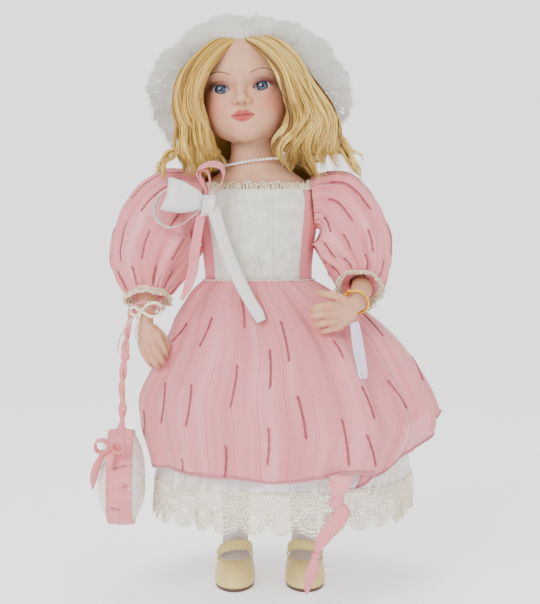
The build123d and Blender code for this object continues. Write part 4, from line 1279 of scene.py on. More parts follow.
def skirt_grid():
    rows, columns = 120, 620
    s = full_turn(columns) - math.pi
    t = np.linspace(0, 1, rows)[:, None]
    profile = smooth_path(SKIRT_SECTIONS, 400)
    past = (s - FOLD_AT) * 180 / math.pi  # degrees towards the doll's left from the lap
    wing = 1 / (1 + np.exp(-np.clip(past / 1.6, -30, 30)))
    lift = np.interp(past, (0, 17, 37, 57, 85, 120, 150), (-15, 8, 26, 37, 24, 6, 0))
    hem = SKIRT_HEM + wing * lift + 1.0 * np.sin(5 * s + 1) + 0.8 * np.sin(9 * s)
    hem = hem + 2.5 * np.exp(-(((past + 8) / 9) ** 2))
    z = SKIRT_WAIST + (hem - SKIRT_WAIST) * t
    # the outline at each height; below the lowest section it draws in a little
    order = np.argsort(profile[:, 0])
    low = np.clip(SKIRT_HEM - z, 0, None)
    x0, y0, a, b = (np.interp(z, profile[order, 0], profile[order, k]) for k in range(1, 5))
    a, b = a - low * 0.25, b - low * 0.2
    lap = np.clip((t - 0.25) / 0.75, 0, 1)
    turn = s - math.radians(9.0) * lap * (past / 4.2) * np.exp(-((past / 4.2) ** 2) / 2)
    inset = 9.0 * lap * wing * np.exp(-np.clip(past, 0, None) / 22)
    grow = t**0.75
    folds = 2.6 * np.sin(11 * s + 1.0 + 0.7 * np.sin(3 * s)) + 1.5 * np.sin(19 * s + 2.0
            + t) + 0.8 * np.sin(33 * s + 1.5 * t)
    quiet = 1 - 0.55 * np.exp(-(((s + math.radians(112)) / math.radians(32)) ** 4))
    folds = folds * grow * quiet
    # deep creases: angle and width in degrees, where they start and end down the skirt, and depth
    deep = 0.0
    for at, width, top, bottom, depth in (
        (-97, 3.4, 0.02, 0.62, 7.0), (-70, 3.2, 0.05, 0.85, 6.0), (-124, 3.0, 0.0, 0.35, 4.5),
        (-37, 4.0, 0.1, 1.0, 6.0),
        (-150, 3.6, 0.1, 0.8, 5.0), (-15, 4.2, 0.15, 1.0, 5.0), (20, 4.5, 0.1, 1.0, 6.0),
        (60, 4.0, 0.05, 1.0, 6.5),
        (95, 4.5, 0.05, 1.0, 7.0), (130, 4.0, 0.05, 1.0, 6.0), (165, 4.5, 0.1, 1.0, 5.5),
    ):
        lean = math.radians(at) + 0.10 * (t - 0.3) * (1 if at > -90 else -0.6)
        shape = np.exp(-(((s - lean) / math.radians(width)) ** 2))
        lips = 0.45 * np.exp(-(((s - lean) / math.radians(width * 2.6)) ** 2))
        fade = np.clip((t - top) / 0.12, 0, 1) * np.clip((bottom - t) / 0.22, 0, 1)
        deep = deep + depth * fade * (lips - shape)
    gathers = np.exp(-t / 0.10) * (0.9 * np.sin(58 * s) + 0.5 * np.sin(97 * s + 1.0)) * np.clip(t / 0.01,
            0.3, 1)
    puff = 3.0 * np.exp(-(((t - 0.07) / 0.06) ** 2)) * (0.6 + 0.4 * np.sin(23 * s))
    rough = 0.35 * np.sin(61 * s + 9 * t) * np.sin(13 * t + 3 * s) * grow
    out = folds + deep + gathers + puff + rough - inset
    x = x0 + (a + out) * np.cos(turn)
    y = y0 + (b + out) * np.sin(turn)
    sag = 0.6 * np.sin(7 * s + 4) * grow
    return np.stack((x, y, z + sag * (t < 0.999)), -1)


DASH_TONES = (0.15, 0.35, 0.7)
# stitched dashes on the front, from (x, z) to (x, z), as they lie when seen from straight ahead
FRONT_DASHES = [
    (-44, 211, -53, 190), (-22, 227, -19, 204), (8, 209, 14, 181), (0, 189, 0, 162), (-24, 178, -29, 148),
    (-58, 163, -62, 133), (20, 157, 26, 127), (-1, 135, -2, 109), (52, 140, 57, 107), (67, 163, 76, 140),
    (88, 165, 103, 143), (70, 129, 77, 105), (-32, 121, -33, 97), (-65, 108, -65, 99), (-79, 162, -82, 132),
    (-64, 206, -75, 192), (47, 195, 54, 183), (69, 216, 87, 196), (112, 178, 120, 160), (-96, 140, -97, 118),
]


def surface_tree(grid):
    faces = grid_faces(*grid.shape[:2], wrap_columns=True)
    return BVHTree.FromPolygons([tuple(p) for p in grid.reshape(-1, 3)], faces)


def drop_on(tree, x, z):
    """Points of a surface met first from the front at x and z, with normals facing forwards."""
    points, normals = [], []
    for px, pz in zip(x, z):
        hit, normal, _, _ = tree.ray_cast(Vector((px, -300, pz)), Vector((0, 1, 0)))
        if hit is not None:
            points.append(tuple(hit))
            normals.append(tuple(normal if normal.y < 0 else -normal))
    return np.array(points), np.array(normals)


def make_skirt():
    grid = skirt_grid()
    rows, columns = grid.shape[:2]
    material = organza_material("skirt_organza", 0.93)
    piece = make_piece("skirt_organza_panels", grid.reshape(-1, 3),
                       grid_faces(rows, columns, wrap_columns=True), material,
                       "torso", uvs=cloth_uv(grid), replaces=("skirt",), slot="dress_pink")
    stitches = Heap()
    tree = surface_tree(grid)
    for k, (x1, z1, x2, z2) in enumerate(FRONT_DASHES):
        s = np.linspace(0, 1, 26)
        bend = 0.8 * np.sin(math.pi * s)
        path, normal = drop_on(tree, x1 + (x2 - x1) * s + bend, z1 + (z2 - z1) * s)
        if len(path) > 8:
            stitches.add(squiggle(path, normal), DASH_TONES[(k * 5) % 3])
    # four rows of dashes round the sides and the back
    surface = Surface(grid, (10, 0, 150))
    for row in range(4):
        for k in range(13):
            u = (0.5 + (k + 0.5 * (row % 2)) / 24.0 + 0.012 * math.sin(9 * k + row)) % 1.0
            angle = u * 360 - 180
            if -165 < angle < 25:  # the front
                continue
            v0 = 0.12 + 0.22 * row + 0.03 * math.sin(5 * k)
            path, normal = surface.at(np.full(20, u), np.linspace(v0, v0 + 0.15, 20), 0.1)
            stitches.add(squiggle(path, normal), DASH_TONES[k % 3])
    threads = stitches.piece("skirt_stitches", thread_material("rose_thread", ROSE, ROSE_PALE), "torso",
                             slot="dress_pink")
    hem = Heap()
    edge = grid[-1] + np.array((0, 0, 0.3))
    hem.add(tube(edge, 0.95 + 0.18 * np.sin(np.arange(columns) * 0.9), 6, closed=True), 0.4)
    ridge = grid[-2] * 0.5 + grid[-3] * 0.5 + surface.normal[-3] * 0.25
    hem.add(tube(ridge, 0.35, 4, closed=True), 0.2)
    rolled = hem.piece("skirt_rolled_hem",
                       thread_material("hem_pink", (0.47, 0.14, 0.18), (0.62, 0.26, 0.29)), "torso",
                       slot="dress_pink")
    # the waist seam
    waist = Heap()
    waist.add(tube(grid[0] + surface.normal[0] * 0.3, 0.8, 6, closed=True), 0.6)
    seam = waist.piece("waist_seam_cord",
                       thread_material("waist_cord", (0.5, 0.34, 0.31), (0.74, 0.60, 0.55)), "torso",
                       slot="dress_pink")


PETTICOAT_SECTIONS = [(226, -7, 0, 44, 35), (200, -3, 0, 60, 56), (165, 2, 0, 77, 75), (125, 9, 0, 93, 90),
                      (84, 10, 0, 100, 96)]


def hem_wave(s):
    """How far the petticoat's hem waves in and out round the doll."""
    return 1.5 * np.sin(9 * s + 0.8) + 1.0 * np.sin(15 * s + 2.0) + 0.5 * np.sin(27 * s)


def make_petticoat():
    rows, columns = 60, 560
    s = full_turn(columns)
    t = np.linspace(0, 1, rows)[:, None]
    grid = ovals(PETTICOAT_SECTIONS, rows, s)
    out = (0.9 * np.sin(70 * s + 2 * np.sin(4 * s)) + 0.7 * np.sin(43 * s + 3 * t)) * (0.5
            + 0.5 * t) + hem_wave(s) * t
    grid = grid + out[..., None] * radial(s)
    n = Nodes("petticoat_tulle", (0.90, 0.87, 0.85), 0.8)
    place = n.coordinates("UV")
    lines = n.noise(n.stretch(place, (900.0, 22.0, 1.0)), 1.0, 2.0)
    n.link(n.span(lines, 0.3, 0.7, 0.50, 0.88), "Alpha")
    n.link(n.mix(n.span(lines, 0.35, 0.7), (0.86, 0.80, 0.80), (0.92, 0.90, 0.88)), "Base Color")
    n.set(Sheen_Weight=0.2)
    piece = make_piece("petticoat_tulle", grid.reshape(-1, 3), grid_faces(rows, columns, wrap_columns=True),
                       n.material, "torso",
                       uvs=cloth_uv(grid), replaces=("petticoat", "petticoat_waistband"), slot="tulle")
    # gather cords round the waist
    band = Heap()
    for z in (228.5, 231, 233.5):
        ring = np.stack((-8 + 42.5 * np.cos(s), 1 + 32.0 * np.sin(s), np.full(columns, z)), -1)
        band.add(tube(ring + 0.3 * np.sin(80 * s)[:, None] * np.array((0, 0, 1)), 1.3, 6, closed=True), 0.7)
    casing = band.piece("petticoat_waist_casing",
                        thread_material("casing", (0.75, 0.72, 0.7), (0.88, 0.86, 0.84)), "torso",
                        slot="tulle")
    lace = make_crochet_hem(s)


def make_crochet_hem(s):
    """The petticoat's crochet hem: a header of loops and net, and scallops with eyelets and picots."""
    rows = 24
    t = np.linspace(0, 1, rows)[:, None]
    lace_grid = ovals([(86.5, 10, 0, 100.4, 96.4), (72, 9.5, 0, 101.0, 97.2), (52.5, 8, 0, 100.2, 97.2)],
                      rows, s)
    flounce = hem_wave(s) * (1 + 0.6 * t) + 1.2 * np.sin(31 * s + 0.5) * t
    lace_grid = lace_grid + flounce[..., None] * radial(s)
    surface = Surface(lace_grid, (10, 0, 70))
    round_mm, drop_mm = 620.0, 34.2
    heap = Heap()
    random = np.random.default_rng(31)

    def lay(x, y, radius, closed=False, lift=0.0, tone=None):
        """Lays a thread at x round the hem and y down it, both in millimetres."""
        points, _ = surface.at(np.asarray(x) / round_mm, np.asarray(y) / drop_mm, lift)
        tone = random.uniform(0.2, 1) if tone is None else tone
        heap.add(tube(points, radius, 4, closed=closed, up=np.array((0.02, 0.03, 1.0))), tone)

    u = np.linspace(0, round_mm, 1240, endpoint=False)
    for y, r in ((0.8, 0.75), (9.4, 0.7), (13.2, 0.55)):
        lay(u, y + 0.25 * np.sin(u * 0.8), r, closed=True, tone=0.7)
    lay(u, 5.0 + 2.9 * np.sin(u * TAU / 5.0), 0.55, closed=True, tone=0.5)
    lay(u, 5.0 - 2.9 * np.sin(u * TAU / 5.0), 0.55, closed=True, lift=0.5, tone=0.8)
    lay(u, 11.3 + 1.7 * np.sin(u * TAU / 3.1), 0.5, closed=True, lift=0.2, tone=0.6)
    count = 30
    wide = round_mm / count
    circle = full_turn(26)
    small = full_turn(9)
    for k in range(count):
        cx, cy = (k + 0.5) * wide, 21.2
        squeeze = random.uniform(0.93, 1.05)
        for r, thick in ((8.6, 0.75), (5.6, 0.6), (2.3, 0.6)):
            lay(cx + r * squeeze * np.cos(circle), cy + r * 0.92 * np.sin(circle), thick, closed=True)
        for j in range(12):
            a = TAU * (j + 0.5) / 12
            spoke = np.linspace(2.3, 5.6, 4)
            lay(cx + spoke * math.cos(a), cy + spoke * 0.92 * math.sin(a), 0.5)
            lay(cx + 7.1 * math.cos(a) + 1.15 * np.cos(small),
                cy + (7.1 * math.sin(a)) * 0.92 + 1.05 * np.sin(small), 0.5, closed=True)
        for j in range(13):
            a = math.radians(-14) + math.radians(208) * j / 12
            lay(cx + 10.1 * squeeze * math.cos(a) + 1.35 * np.cos(small),
                cy + 9.4 * math.sin(a) + 1.25 * np.sin(small), 0.5, closed=True)
        # the net between two scallops
        for j in range(5):
            x0 = k * wide - 5.5 + 2.7 * j
            lay(np.linspace(x0, x0 + 2.2, 4), np.linspace(13.2, 19.5 - 0.9 * abs(j - 2), 4), 0.42)
            lay(np.linspace(x0 + 2.2, x0, 4), np.linspace(13.2, 19.5 - 0.9 * abs(j - 2), 4), 0.42)
        lay(k * wide + 2.3 * np.cos(small), 19.4 + 2.0 * np.sin(small), 0.5, closed=True)
    cream = thread_material("crochet_cotton", (0.74, 0.64, 0.42), (0.95, 0.90, 0.72), 0.85)
    return heap.piece("petticoat_crochet_lace", cream, "torso", replaces=("petticoat_lace",),
                      slot="hem_lace")


BODICE_SECTIONS = [(309, -10, 3, 46.2, 30.2), (303, -10, 3, 48.0, 31.6), (290, -10, 3, 47.6, 31.4),
                   (262, -9.5, 2, 43.6, 31.6), (246, -9.2, 2, 42.0, 31.0), (237.5, -9, 2, 41.8, 30.8)]


def net_material(name):
    """Ivory raschel lace over lining: a fine grid, with denser sprigs and bars worked into it."""
    n = Nodes(name, (0.80, 0.79, 0.74), 0.8)
    place = n.coordinates("UV")
    rate = wave_scale(0.0013 / 2)  # a diagonal wave repeats half as often
    one_way = n.wave(place, rate, "DIAGONAL", 0.3)
    other_way = n.wave(n.stretch(place, (-1.0, 1.0, 1.0)), rate, "DIAGONAL", 0.3)
    net = n.math("MAXIMUM", n.span(one_way, 0.6, 0.95), n.span(other_way, 0.6, 0.95))
    sprigs = n.span(n.noise(n.stretch(place, (170.0, 120.0, 1.0)), 1.0, 3.0), 0.48, 0.60)
    height = n.math("ADD", n.math("MULTIPLY", net, 0.5), n.math("MULTIPLY", sprigs, 0.35))
    n.link(n.mix(n.span(height, 0.0, 0.8), (0.60, 0.58, 0.48), (0.88, 0.88, 0.83)), "Base Color")
    n.bump(height, 0.7, 0.0006)
    n.set(Sheen_Weight=0.2)
    return n.material


class LoopedEdging:
    """Looped cotton edging: one thread and one run of random numbers for the neckline and both cuffs."""

    def __init__(self):
        self.random = np.random.default_rng(17)
        self.cotton = thread_material("edging_cotton", (0.66, 0.52, 0.32), (0.88, 0.81, 0.62), 0.85)

    def add(self, heap, at, length_mm, spacing, height, radius, up):
        """Irregular loops along a line; at(d) gives its point and its outward and upward directions."""
        random = self.random
        for k in range(int(length_mm / spacing)):
            d0 = k * spacing + random.uniform(-0.5, 0.5)
            a = np.linspace(-0.35 * math.pi, 1.35 * math.pi, 13)
            wide, tall = random.uniform(1.2, 2.2), height * random.uniform(0.6, 1.25)
            d = d0 + wide * np.cos(a) + 0.8 * a / math.pi
            point, outward, rise = at(d)
            lift = tall * (np.sin(a) * 0.5 + 0.35)
            lean = random.uniform(-0.8, 0.9)
            path = point + rise * lift[:, None] + outward * (0.7 + lean * lift / 2.4)[:, None]
            heap.add(tube(path, radius * random.uniform(0.8, 1.2), 4, up=up), random.uniform(0.1, 1))


def make_bodice(edging):
    columns, rows = 260, 80
    s = full_turn(columns)
    grid = ovals(BODICE_SECTIONS, rows, s)
    t = np.linspace(0, 1, rows)[:, None]
    creases = 0.35 * ripple(grid, 0.10) + 0.25 * np.exp(-(1 - t) / 0.08) * np.sin(60 * s)
    grid = grid + creases[..., None] * radial(s)
    material = organza_material("bodice_pink", 1.0)
    piece = make_cloth("bodice_pink", grid, 0.7, cloth_uv(grid), material, "torso",
                       replaces=("dress_bodice",), slot="dress_pink")
    make_bodice_lace(t)
    loops = make_neckline(edging)


def make_bodice_lace(t):
    """The lace panel over the front, with its cords and a small tied ribbon; t runs down its rows."""
    front = np.linspace(math.radians(-90) - 0.90, math.radians(-90) + 0.84, 150)
    panel = ovals(BODICE_SECTIONS, len(t), front)
    out = 0.9 + 0.22 * ripple(panel, 0.16, 2.0) + 0.3 * np.sin(9 * front + 4 * t)
    for z0, width, height in ((300.5, 1.4, 0.9), (297.0, 0.7, 0.5), (243, 1.0, 0.5)):
        out = out + height * np.exp(-(((panel[..., 2] - z0) / width) ** 2))
    panel = panel + out[..., None] * radial(front)
    lace = make_cloth("bodice_lace_front", panel, 0.5, cloth_uv(panel), net_material("raschel_lace"),
                      "torso",
                      wrap_columns=False, replaces=("bodice_lace_panel",), slot="net_lace")
    surface = Surface(panel, (-10, 40, 270), wrap=False)
    trims = Heap()
    for u0, lean in ((0.34, -0.015), (0.66, 0.01)):
        for side in (-0.013, 0.013):
            v = np.linspace(0.03, 0.97, 40)
            path, _ = surface.at(u0 + side + lean * v, v, 0.25)
            trims.add(tube(path, 0.35, 4), 0.8)
        v = np.linspace(0.03, 0.97, 200)
        path, _ = surface.at(u0 + lean * v + 0.010 * np.sin(v * 190), v, 0.3)
        trims.add(tube(path, 0.33, 4), 0.5)
    for v0 in (0.085, 0.155):
        u = np.linspace(0.01, 0.99, 200)
        path, _ = surface.at(u, v0 + 0.008 * np.sin(u * 200), 0.3)
        trims.add(tube(path, 0.4, 4), 0.6)
    # a small tied ribbon in the middle
    knot = surface.at(np.array([0.5]), np.array([0.66]), 1.2)[0][0]
    for dx, dz, turn in ((-5, 2.2, 1), (5, 2.4, -1)):
        a = np.linspace(0, TAU, 16)
        loop = knot + np.stack((dx * (1 - np.cos(a)) / 2, -0.8 - 0.8 * np.sin(a), dz * np.sin(a) * turn), 1)
        trims.add(tube(loop, 0.75, 5, flat=0.5), 0.9)
    for dx, dz in ((-4, -9), (3.5, -11)):
        a = np.linspace(0, 1, 9)
        tail = knot + np.stack((dx * a, -0.6 - 0.8 * np.sin(3 * a), dz * a**1.2), 1)
        trims.add(tube(tail, 0.8, 5, flat=0.5), 0.9)
    sewn = trims.piece("bodice_trims",
                       thread_material("ivory_thread", (0.62, 0.59, 0.50), (0.85, 0.84, 0.79)), "torso",
                       slot="net_lace")


NECKLINE_R = 41.0
CUFF_R = 14.0


def make_neckline(edging):
    """Looped cotton edging round the neckline."""
    loops = Heap()

    def neckline(d):
        a = d / NECKLINE_R
        c, s = np.cos(a), np.sin(a)
        side = np.clip(c, 0, 1) ** 3
        point = np.stack((-10 + 45.6 * c, 3 + 29.8 * s, 308.5 + 2.0 * side + 0 * a), -1)
        outward = unit(np.stack((c / 45, s / 29, 0 * a), -1))
        return point, outward, np.array((0.0, 0.0, 1.0)) - 0.35 * outward

    for _ in range(2):
        edging.add(loops, neckline, TAU * NECKLINE_R, 2.2, 6.4, 0.46, np.array((0.3, 0.1, 1.0)))
    a = full_turn(160)
    base, outward, _ = neckline(a * NECKLINE_R)
    loops.add(tube(base + outward * 1.0, 0.8 + 0.15 * np.sin(a * 70), 5, closed=True), 0.5)
    return loops.piece("neckline_edging", edging.cotton, "torso", replaces=("neckline_lace",),
                       slot="trim_lace")


# sections from shoulder to wrist: middle, the direction the sleeve runs in there, and radius
SLEEVES = {
    "right": [((-53.5, 3, 299), (-1, 0, 0.1), 18.5), ((-60, 2, 299.5), (-1, 0, 0), 22),
              ((-74, 1, 294), (-0.85, 0, -0.5), 31),
              ((-87, -3, 272), (-0.25, -0.1, -1), 34.5), ((-92.5, -9, 250), (-0.05, -0.3, -1), 30),
              ((-94, -19, 234), (0, -0.5, -1), 20),
              ((-94.3, -23.5, 228), (0, -0.5, -1), 14.5)],
    "left": [((33.5, 3, 299), (1, 0, 0.1), 18.5), ((40, 2, 299.5), (1, 0, 0), 22),
             ((52, 1, 294), (0.85, 0, -0.5), 29.5),
             ((64, -3, 272), (0.25, -0.1, -1), 29.5), ((68.5, -9, 254), (0.1, -0.4, -1), 26),
             ((70, -19, 240), (-0.1, -0.7, -0.75), 19),
             ((69.5, -24.5, 235), (-0.1, -0.8, -0.6), 14.5)],
}


def sleeve_grid(sections, seed):
    rows, columns = 110, 220
    flat = np.array([[*o, *unit(n), r] for o, n, r in sections])
    path = smooth_path(flat, rows)
    origin, normal, radius = path[:, :3], unit(path[:, 3:6]), path[:, 6]
    side = unit(np.cross(normal, (0.0, 1.0, 0.05)))
    lift = np.cross(side, normal)
    a = full_turn(columns)
    t = np.linspace(0, 1, rows)[:, None]
    ends = np.exp(-t / 0.09) + np.exp(-(1 - t) / 0.10)
    belly = np.sin(math.pi * np.clip(t, 0, 1)) ** 0.8
    out = ends * (1.1 * np.sin(38 * a + seed) + 0.5 * np.sin(61 * a)) + belly * (
        1.6 * np.sin(6 * a + 1.5 * t + seed) + 1.1 * np.sin(11 * a - 4 * t + 2 * seed)
        + 0.7 * np.sin(19 * a + 5 * t)
    )
    long_folds = 0.9 * np.sin(27 * a + 3.0 * np.sin(2.2 * t + seed)) * np.exp(-(((t - 0.8) / 0.22) ** 2))
    out = out + long_folds + 1.3 * np.exp(-(((t - 0.2) / 0.16) ** 2)) * np.sin(21 * a + 2 * seed)
    ring = rings(a, side, lift)
    grid = origin[:, None, :] + (radius[:, None] + out)[..., None] * ring
    grid = grid + ring * (1.0 * ripple(grid, 0.085, seed) * belly)[..., None]
    return grid


def make_sleeve(name, seed, edging):
    body = f"arm_{name}"
    # the cloth turns in at the wrist, where a gathering thread closes it on the arm
    origin, normal, _ = SLEEVES[name][-1]
    turned_in = (tuple(np.array(origin) - 2.5 * unit(normal)), normal, 9.0)
    grid = sleeve_grid([*SLEEVES[name], turned_in], seed)
    uv = cloth_uv(grid) * np.array((1.9, 1.0))  # the flat cloth is wider than its gathered end
    material = organza_material(f"sleeve_{name}_organza", 1.0)
    piece = make_cloth(f"sleeve_{name}_puff", grid, 0.6, uv, material, body,
                       replaces=(f"sleeve_{name}",), slot="dress_pink")
    surface = Surface(grid, grid.reshape(-1, 3).mean(0))
    stitches = Heap()
    for k in range(9):
        for j in range(3):
            u = (k + 0.5 * (j % 2)) / 9 + 0.012 * math.sin(7 * k + j + seed)
            v0 = 0.20 + 0.22 * j + 0.03 * math.sin(3 * k + seed)
            path, outward = surface.at(np.full(18, u), np.linspace(v0, v0 + 0.17, 18), 0.25)
            stitches.add(squiggle(path, outward, 1.0), (0.1, 0.4, 0.7)[(k + j) % 3])
    rose = thread_material(f"rose_thread_{name}", ROSE, ROSE_PALE)
    threads = stitches.piece(f"sleeve_{name}_stitches", rose, body, slot="dress_pink")
    lace = make_cuff(name, seed, edging)


def make_cuff(name, seed, edging):
    """Cuff edging: three rows of loops that stand out below the sleeve."""
    origin, normal, _ = SLEEVES[name][-1]
    normal = unit(normal)
    side = unit(np.cross(normal, (0.0, 1.0, 0.05)))
    lift = np.cross(side, normal)
    loops = Heap()

    def cuff(d):
        a = d / CUFF_R
        outward = circle(a, side, lift)
        point = origin + outward * (CUFF_R + 0.2) + normal * (0.4 + 0.8 * np.sin(a * 5 + seed))[:, None]
        return point, outward, normal + 0.55 * outward

    for _ in range(3):
        edging.add(loops, cuff, TAU * CUFF_R, 1.75, 6.6, 0.42, np.array((0.3, 0.2, 1.0)))
    base, outward, _ = cuff(full_turn(90) * CUFF_R)
    loops.add(tube(base + outward * 0.6, 0.9, 5, closed=True), 0.4)
    return loops.piece(f"cuff_edging_{name}", edging.cotton, f"arm_{name}",
                       replaces=(f"cuff_lace_{name}",), slot="trim_lace")


# ---------------------------------------------------------------- arms, hands and what they wear
def rounded(path, radii, sides=14, count=26):
    """A tapered limb with round ends, as a closed tube through the points."""
    p = smooth_path(np.hstack((np.asarray(path, dtype=float), np.asarray(radii, dtype=float)[:, None])),
                    count)
    centre, radius = p[:, :3], p[:, 3]
    turn = np.linspace(0, math.pi / 2, 6)[1:]
    start, end = unit(centre[0] - centre[1]), unit(centre[-1] - centre[-2])
    head = [centre[0] + start * radius[0] * math.sin(a) for a in turn[::-1]]
    tail = [centre[-1] + end * radius[-1] * math.sin(a) for a in turn]
    centre = np.vstack((head, centre, tail))
    round_off = np.cos(turn)
    radius = np.concatenate((radius[0] * round_off[::-1], radius, radius[-1] * round_off))
    return tube(centre, np.maximum(radius, 0.02), sides, up=np.array((0.31, 0.17, 0.93)))


def blob(centre, radii, axes, count=18):
    """A closed ellipsoid; axes are the directions of its three radii."""
    drop = np.linspace(0, math.pi, count)
    turn = full_turn(2 * count)
    drop, turn = np.meshgrid(drop, turn, indexing="ij")
    local = np.stack((np.sin(drop) * np.cos(turn), np.sin(drop) * np.sin(turn), np.cos(drop)),
                     -1) * np.asarray(radii)
    verts = np.asarray(centre) + local.reshape(-1, 3) @ unit(np.asarray(axes, dtype=float))
    return verts, grid_faces(count, 2 * count, wrap_columns=True)


def fuse(name, shapes, material, body, voxel, smooth_steps, replaces=()):
    """Joins overlapping closed shapes into one skin, and smooths it as clay would be."""
    heap = Heap()
    for shape in shapes:
        heap.add(shape)
    piece = make_piece(name, np.vstack(heap.verts), heap.faces, material, None)
    remesh = piece.modifiers.new("remesh", "REMESH")
    remesh.mode, remesh.voxel_size, remesh.use_smooth_shade = "VOXEL", voxel * MM, True
    relax = piece.modifiers.new("relax", "SMOOTH")
    relax.factor, relax.iterations = 0.5, smooth_steps
    apply_modifiers(piece)
    return declare(piece, body, replaces)


def mesh_points(piece):
    co = np.empty(len(piece.data.vertices) * 3)
    piece.data.vertices.foreach_get("co", co)
    return co.reshape(-1, 3) / MM


HANDS = {
    # arm: points from the cuff to the wrist, with radii; palm: middle, radii and their directions;
    # digits: four fingers and the thumb, each from knuckle to tip, with radii
    "right": {
        "arm": [((-93, -13, 248), 8.8), ((-94.2, -24, 229), 7.9), ((-95.5, -32, 214), 6.6),
                ((-95.8, -35, 206), 6.4)],
        "palm": ((-93.5, -38.0, 196.5), (8.8, 5.2, 11.5),
                 ((0.85, -0.42, 0.12), (0.45, 0.88, 0.2), (-0.15, -0.12, 0.98))),
        "digits": [
            ([(-86.5, -40, 199), (-83.4, -43.5, 192.5), (-80.8, -44, 187), (-79.6, -41.5, 182.5)],
             (3.2, 3.0, 2.7, 2.3)),
            ([(-90, -41.5, 193), (-86.8, -46, 186.5), (-83.6, -46.5, 181), (-81.2, -43.5, 177)],
             (3.3, 3.1, 2.8, 2.3)),
            ([(-94.3, -41.8, 191), (-91.2, -46, 184), (-88, -46.3, 178), (-85.4, -43, 173.8)],
             (3.3, 3.0, 2.7, 2.2)),
            ([(-98.3, -40, 191), (-96, -43.6, 184.5), (-93.2, -44, 179), (-90.6, -41, 174.8)],
             (3.0, 2.7, 2.4, 2.0)),
            ([(-89, -34, 202), (-83.5, -33, 197), (-79.8, -34, 191.5), (-78.2, -36, 187)],
             (3.6, 3.2, 2.8, 2.3)),
        ],
    },
    "left": {
        "arm": [((72, -10, 240), 8.8), ((70.5, -28, 232), 8.1), ((66, -47, 225), 7.0),
                ((63, -55, 221), 6.6)],
        "palm": ((53.5, -62.5, 215.5), (12.0, 5.4, 10.8),
                 ((-0.97, -0.2, -0.02), (-0.2, 0.97, -0.1), (0.0, 0.12, 1.0))),
        "digits": [
            ([(49, -66.5, 221), (42, -70.3, 221.2), (36, -70.8, 220), (31.4, -68.3, 218.6)],
             (3.4, 3.2, 2.9, 2.4)),
            ([(49, -67.5, 215.5), (41.5, -71.3, 215.6), (35.6, -71.6, 214.6), (30.8, -69, 213.4)],
             (3.5, 3.2, 2.9, 2.4)),
            ([(50, -67, 210), (43.5, -70.6, 209.4), (38, -70.8, 208.2), (33.6, -68.3, 207.0)],
             (3.3, 3.1, 2.8, 2.3)),
            ([(52, -65, 205.5), (46.5, -68.2, 204.2), (42, -68.3, 202.9), (38.4, -66, 201.8)],
             (3.0, 2.7, 2.4, 2.0)),
            ([(56, -60, 224), (50, -64.5, 227.6), (43.5, -66.5, 229.2), (37.0, -66.5, 230.4)],
             (3.9, 3.5, 3.0, 2.4)),
        ],
    },
}


def make_hands():
    material = bisque_material("bisque_limbs", flush="flush")
    for name, hand in HANDS.items():
        body = f"arm_{name}"
        arm, radii = zip(*hand["arm"])
        shapes = [rounded(arm, radii, 24, 40)]
        centre, size, axes = hand["palm"]
        shapes.append(blob(centre, size, axes))
        shapes.append(rounded([arm[-1], centre], [6.4, 5.6], 20, 12))
        for path, radius in hand["digits"]:
            shapes.append(rounded(path, radius, 14, 24))
        for path, radius in hand["digits"][:4]:  # from the palm to each knuckle
            inner = np.array(centre) * 0.55 + np.array(path[0]) * 0.45
            shapes.append(rounded([inner, path[0]], [radius[0] + 0.9, radius[0] + 0.1], 14, 8))
        piece = fuse(f"bisque_hand_{name}", shapes, material, body, 0.42, 5, replaces=(f"forearm_{name}",))
        points = mesh_points(piece)
        flush = np.zeros(len(points))
        for path, radius in hand["digits"]:
            for k, size in ((1, 2.8), (3, 2.4)):
                flush += 0.28 * np.exp(-np.sum(((points - path[k]) / (size + radius[k] * 0.5)) ** 2, axis=1))
            # small painted nails on the outer side of each tip
            tip, before = np.array(path[3], dtype=float), np.array(path[2], dtype=float)
            nail = tip + unit(tip - before) * 0.6 + np.array((0, -1.0, 0)) * radius[3] * 0.85
            flush += 0.45 * np.exp(-np.sum(((points - nail) / 1.15) ** 2, axis=1))
        store_value(piece, "flush", np.clip(flush, 0, 0.75))


def make_upper_arms():
    """Stuffed muslin upper arms, gathered where they are tied to the porcelain."""
    muslin = cloth_material("arm_muslin", (0.80, 0.76, 0.70), (0.70, 0.65, 0.58), 0.4, 0.3)
    for name, shoulder, elbow in (("right", (-63, 2, 299), (-92, -11, 251)),
                                  ("left", (43, 2, 299), (71, -8, 244))):
        rows, columns = 60, 60
        t = np.linspace(0, 1, rows)
        mid = (np.array(shoulder) + np.array(elbow)) / 2 + np.array((-6 if name == "right" else 6, 2, 4))
        path = smooth_path([shoulder, mid, elbow], rows)
        a = full_turn(columns)
        side, lift = frames_along(path, np.array((0.0, 1.0, 0.1)))
        radius = 8.0 * (np.sin(math.pi * np.clip(0.06 + 0.9 * t, 0, 1)) ** 0.3)[:, None]
        radius = radius + 0.5 * np.exp(-((1 - t[:, None]) / 0.12)) * np.sin(18 * a) + 0.3 * np.sin(5 * a
                + 9 * t[:, None])
        grid = path[:, None, :] + radius[..., None] * rings(a, side, lift)
        faces = capped_faces(rows, columns)
        uv = np.stack(np.meshgrid(a * 8, t * 58), -1).reshape(-1, 2) * MM
        piece = make_piece(f"stuffed_arm_{name}", grid.reshape(-1, 3), faces, muslin, f"arm_{name}", uvs=uv,
                           replaces=(f"upper_arm_{name}",), slot="muslin")


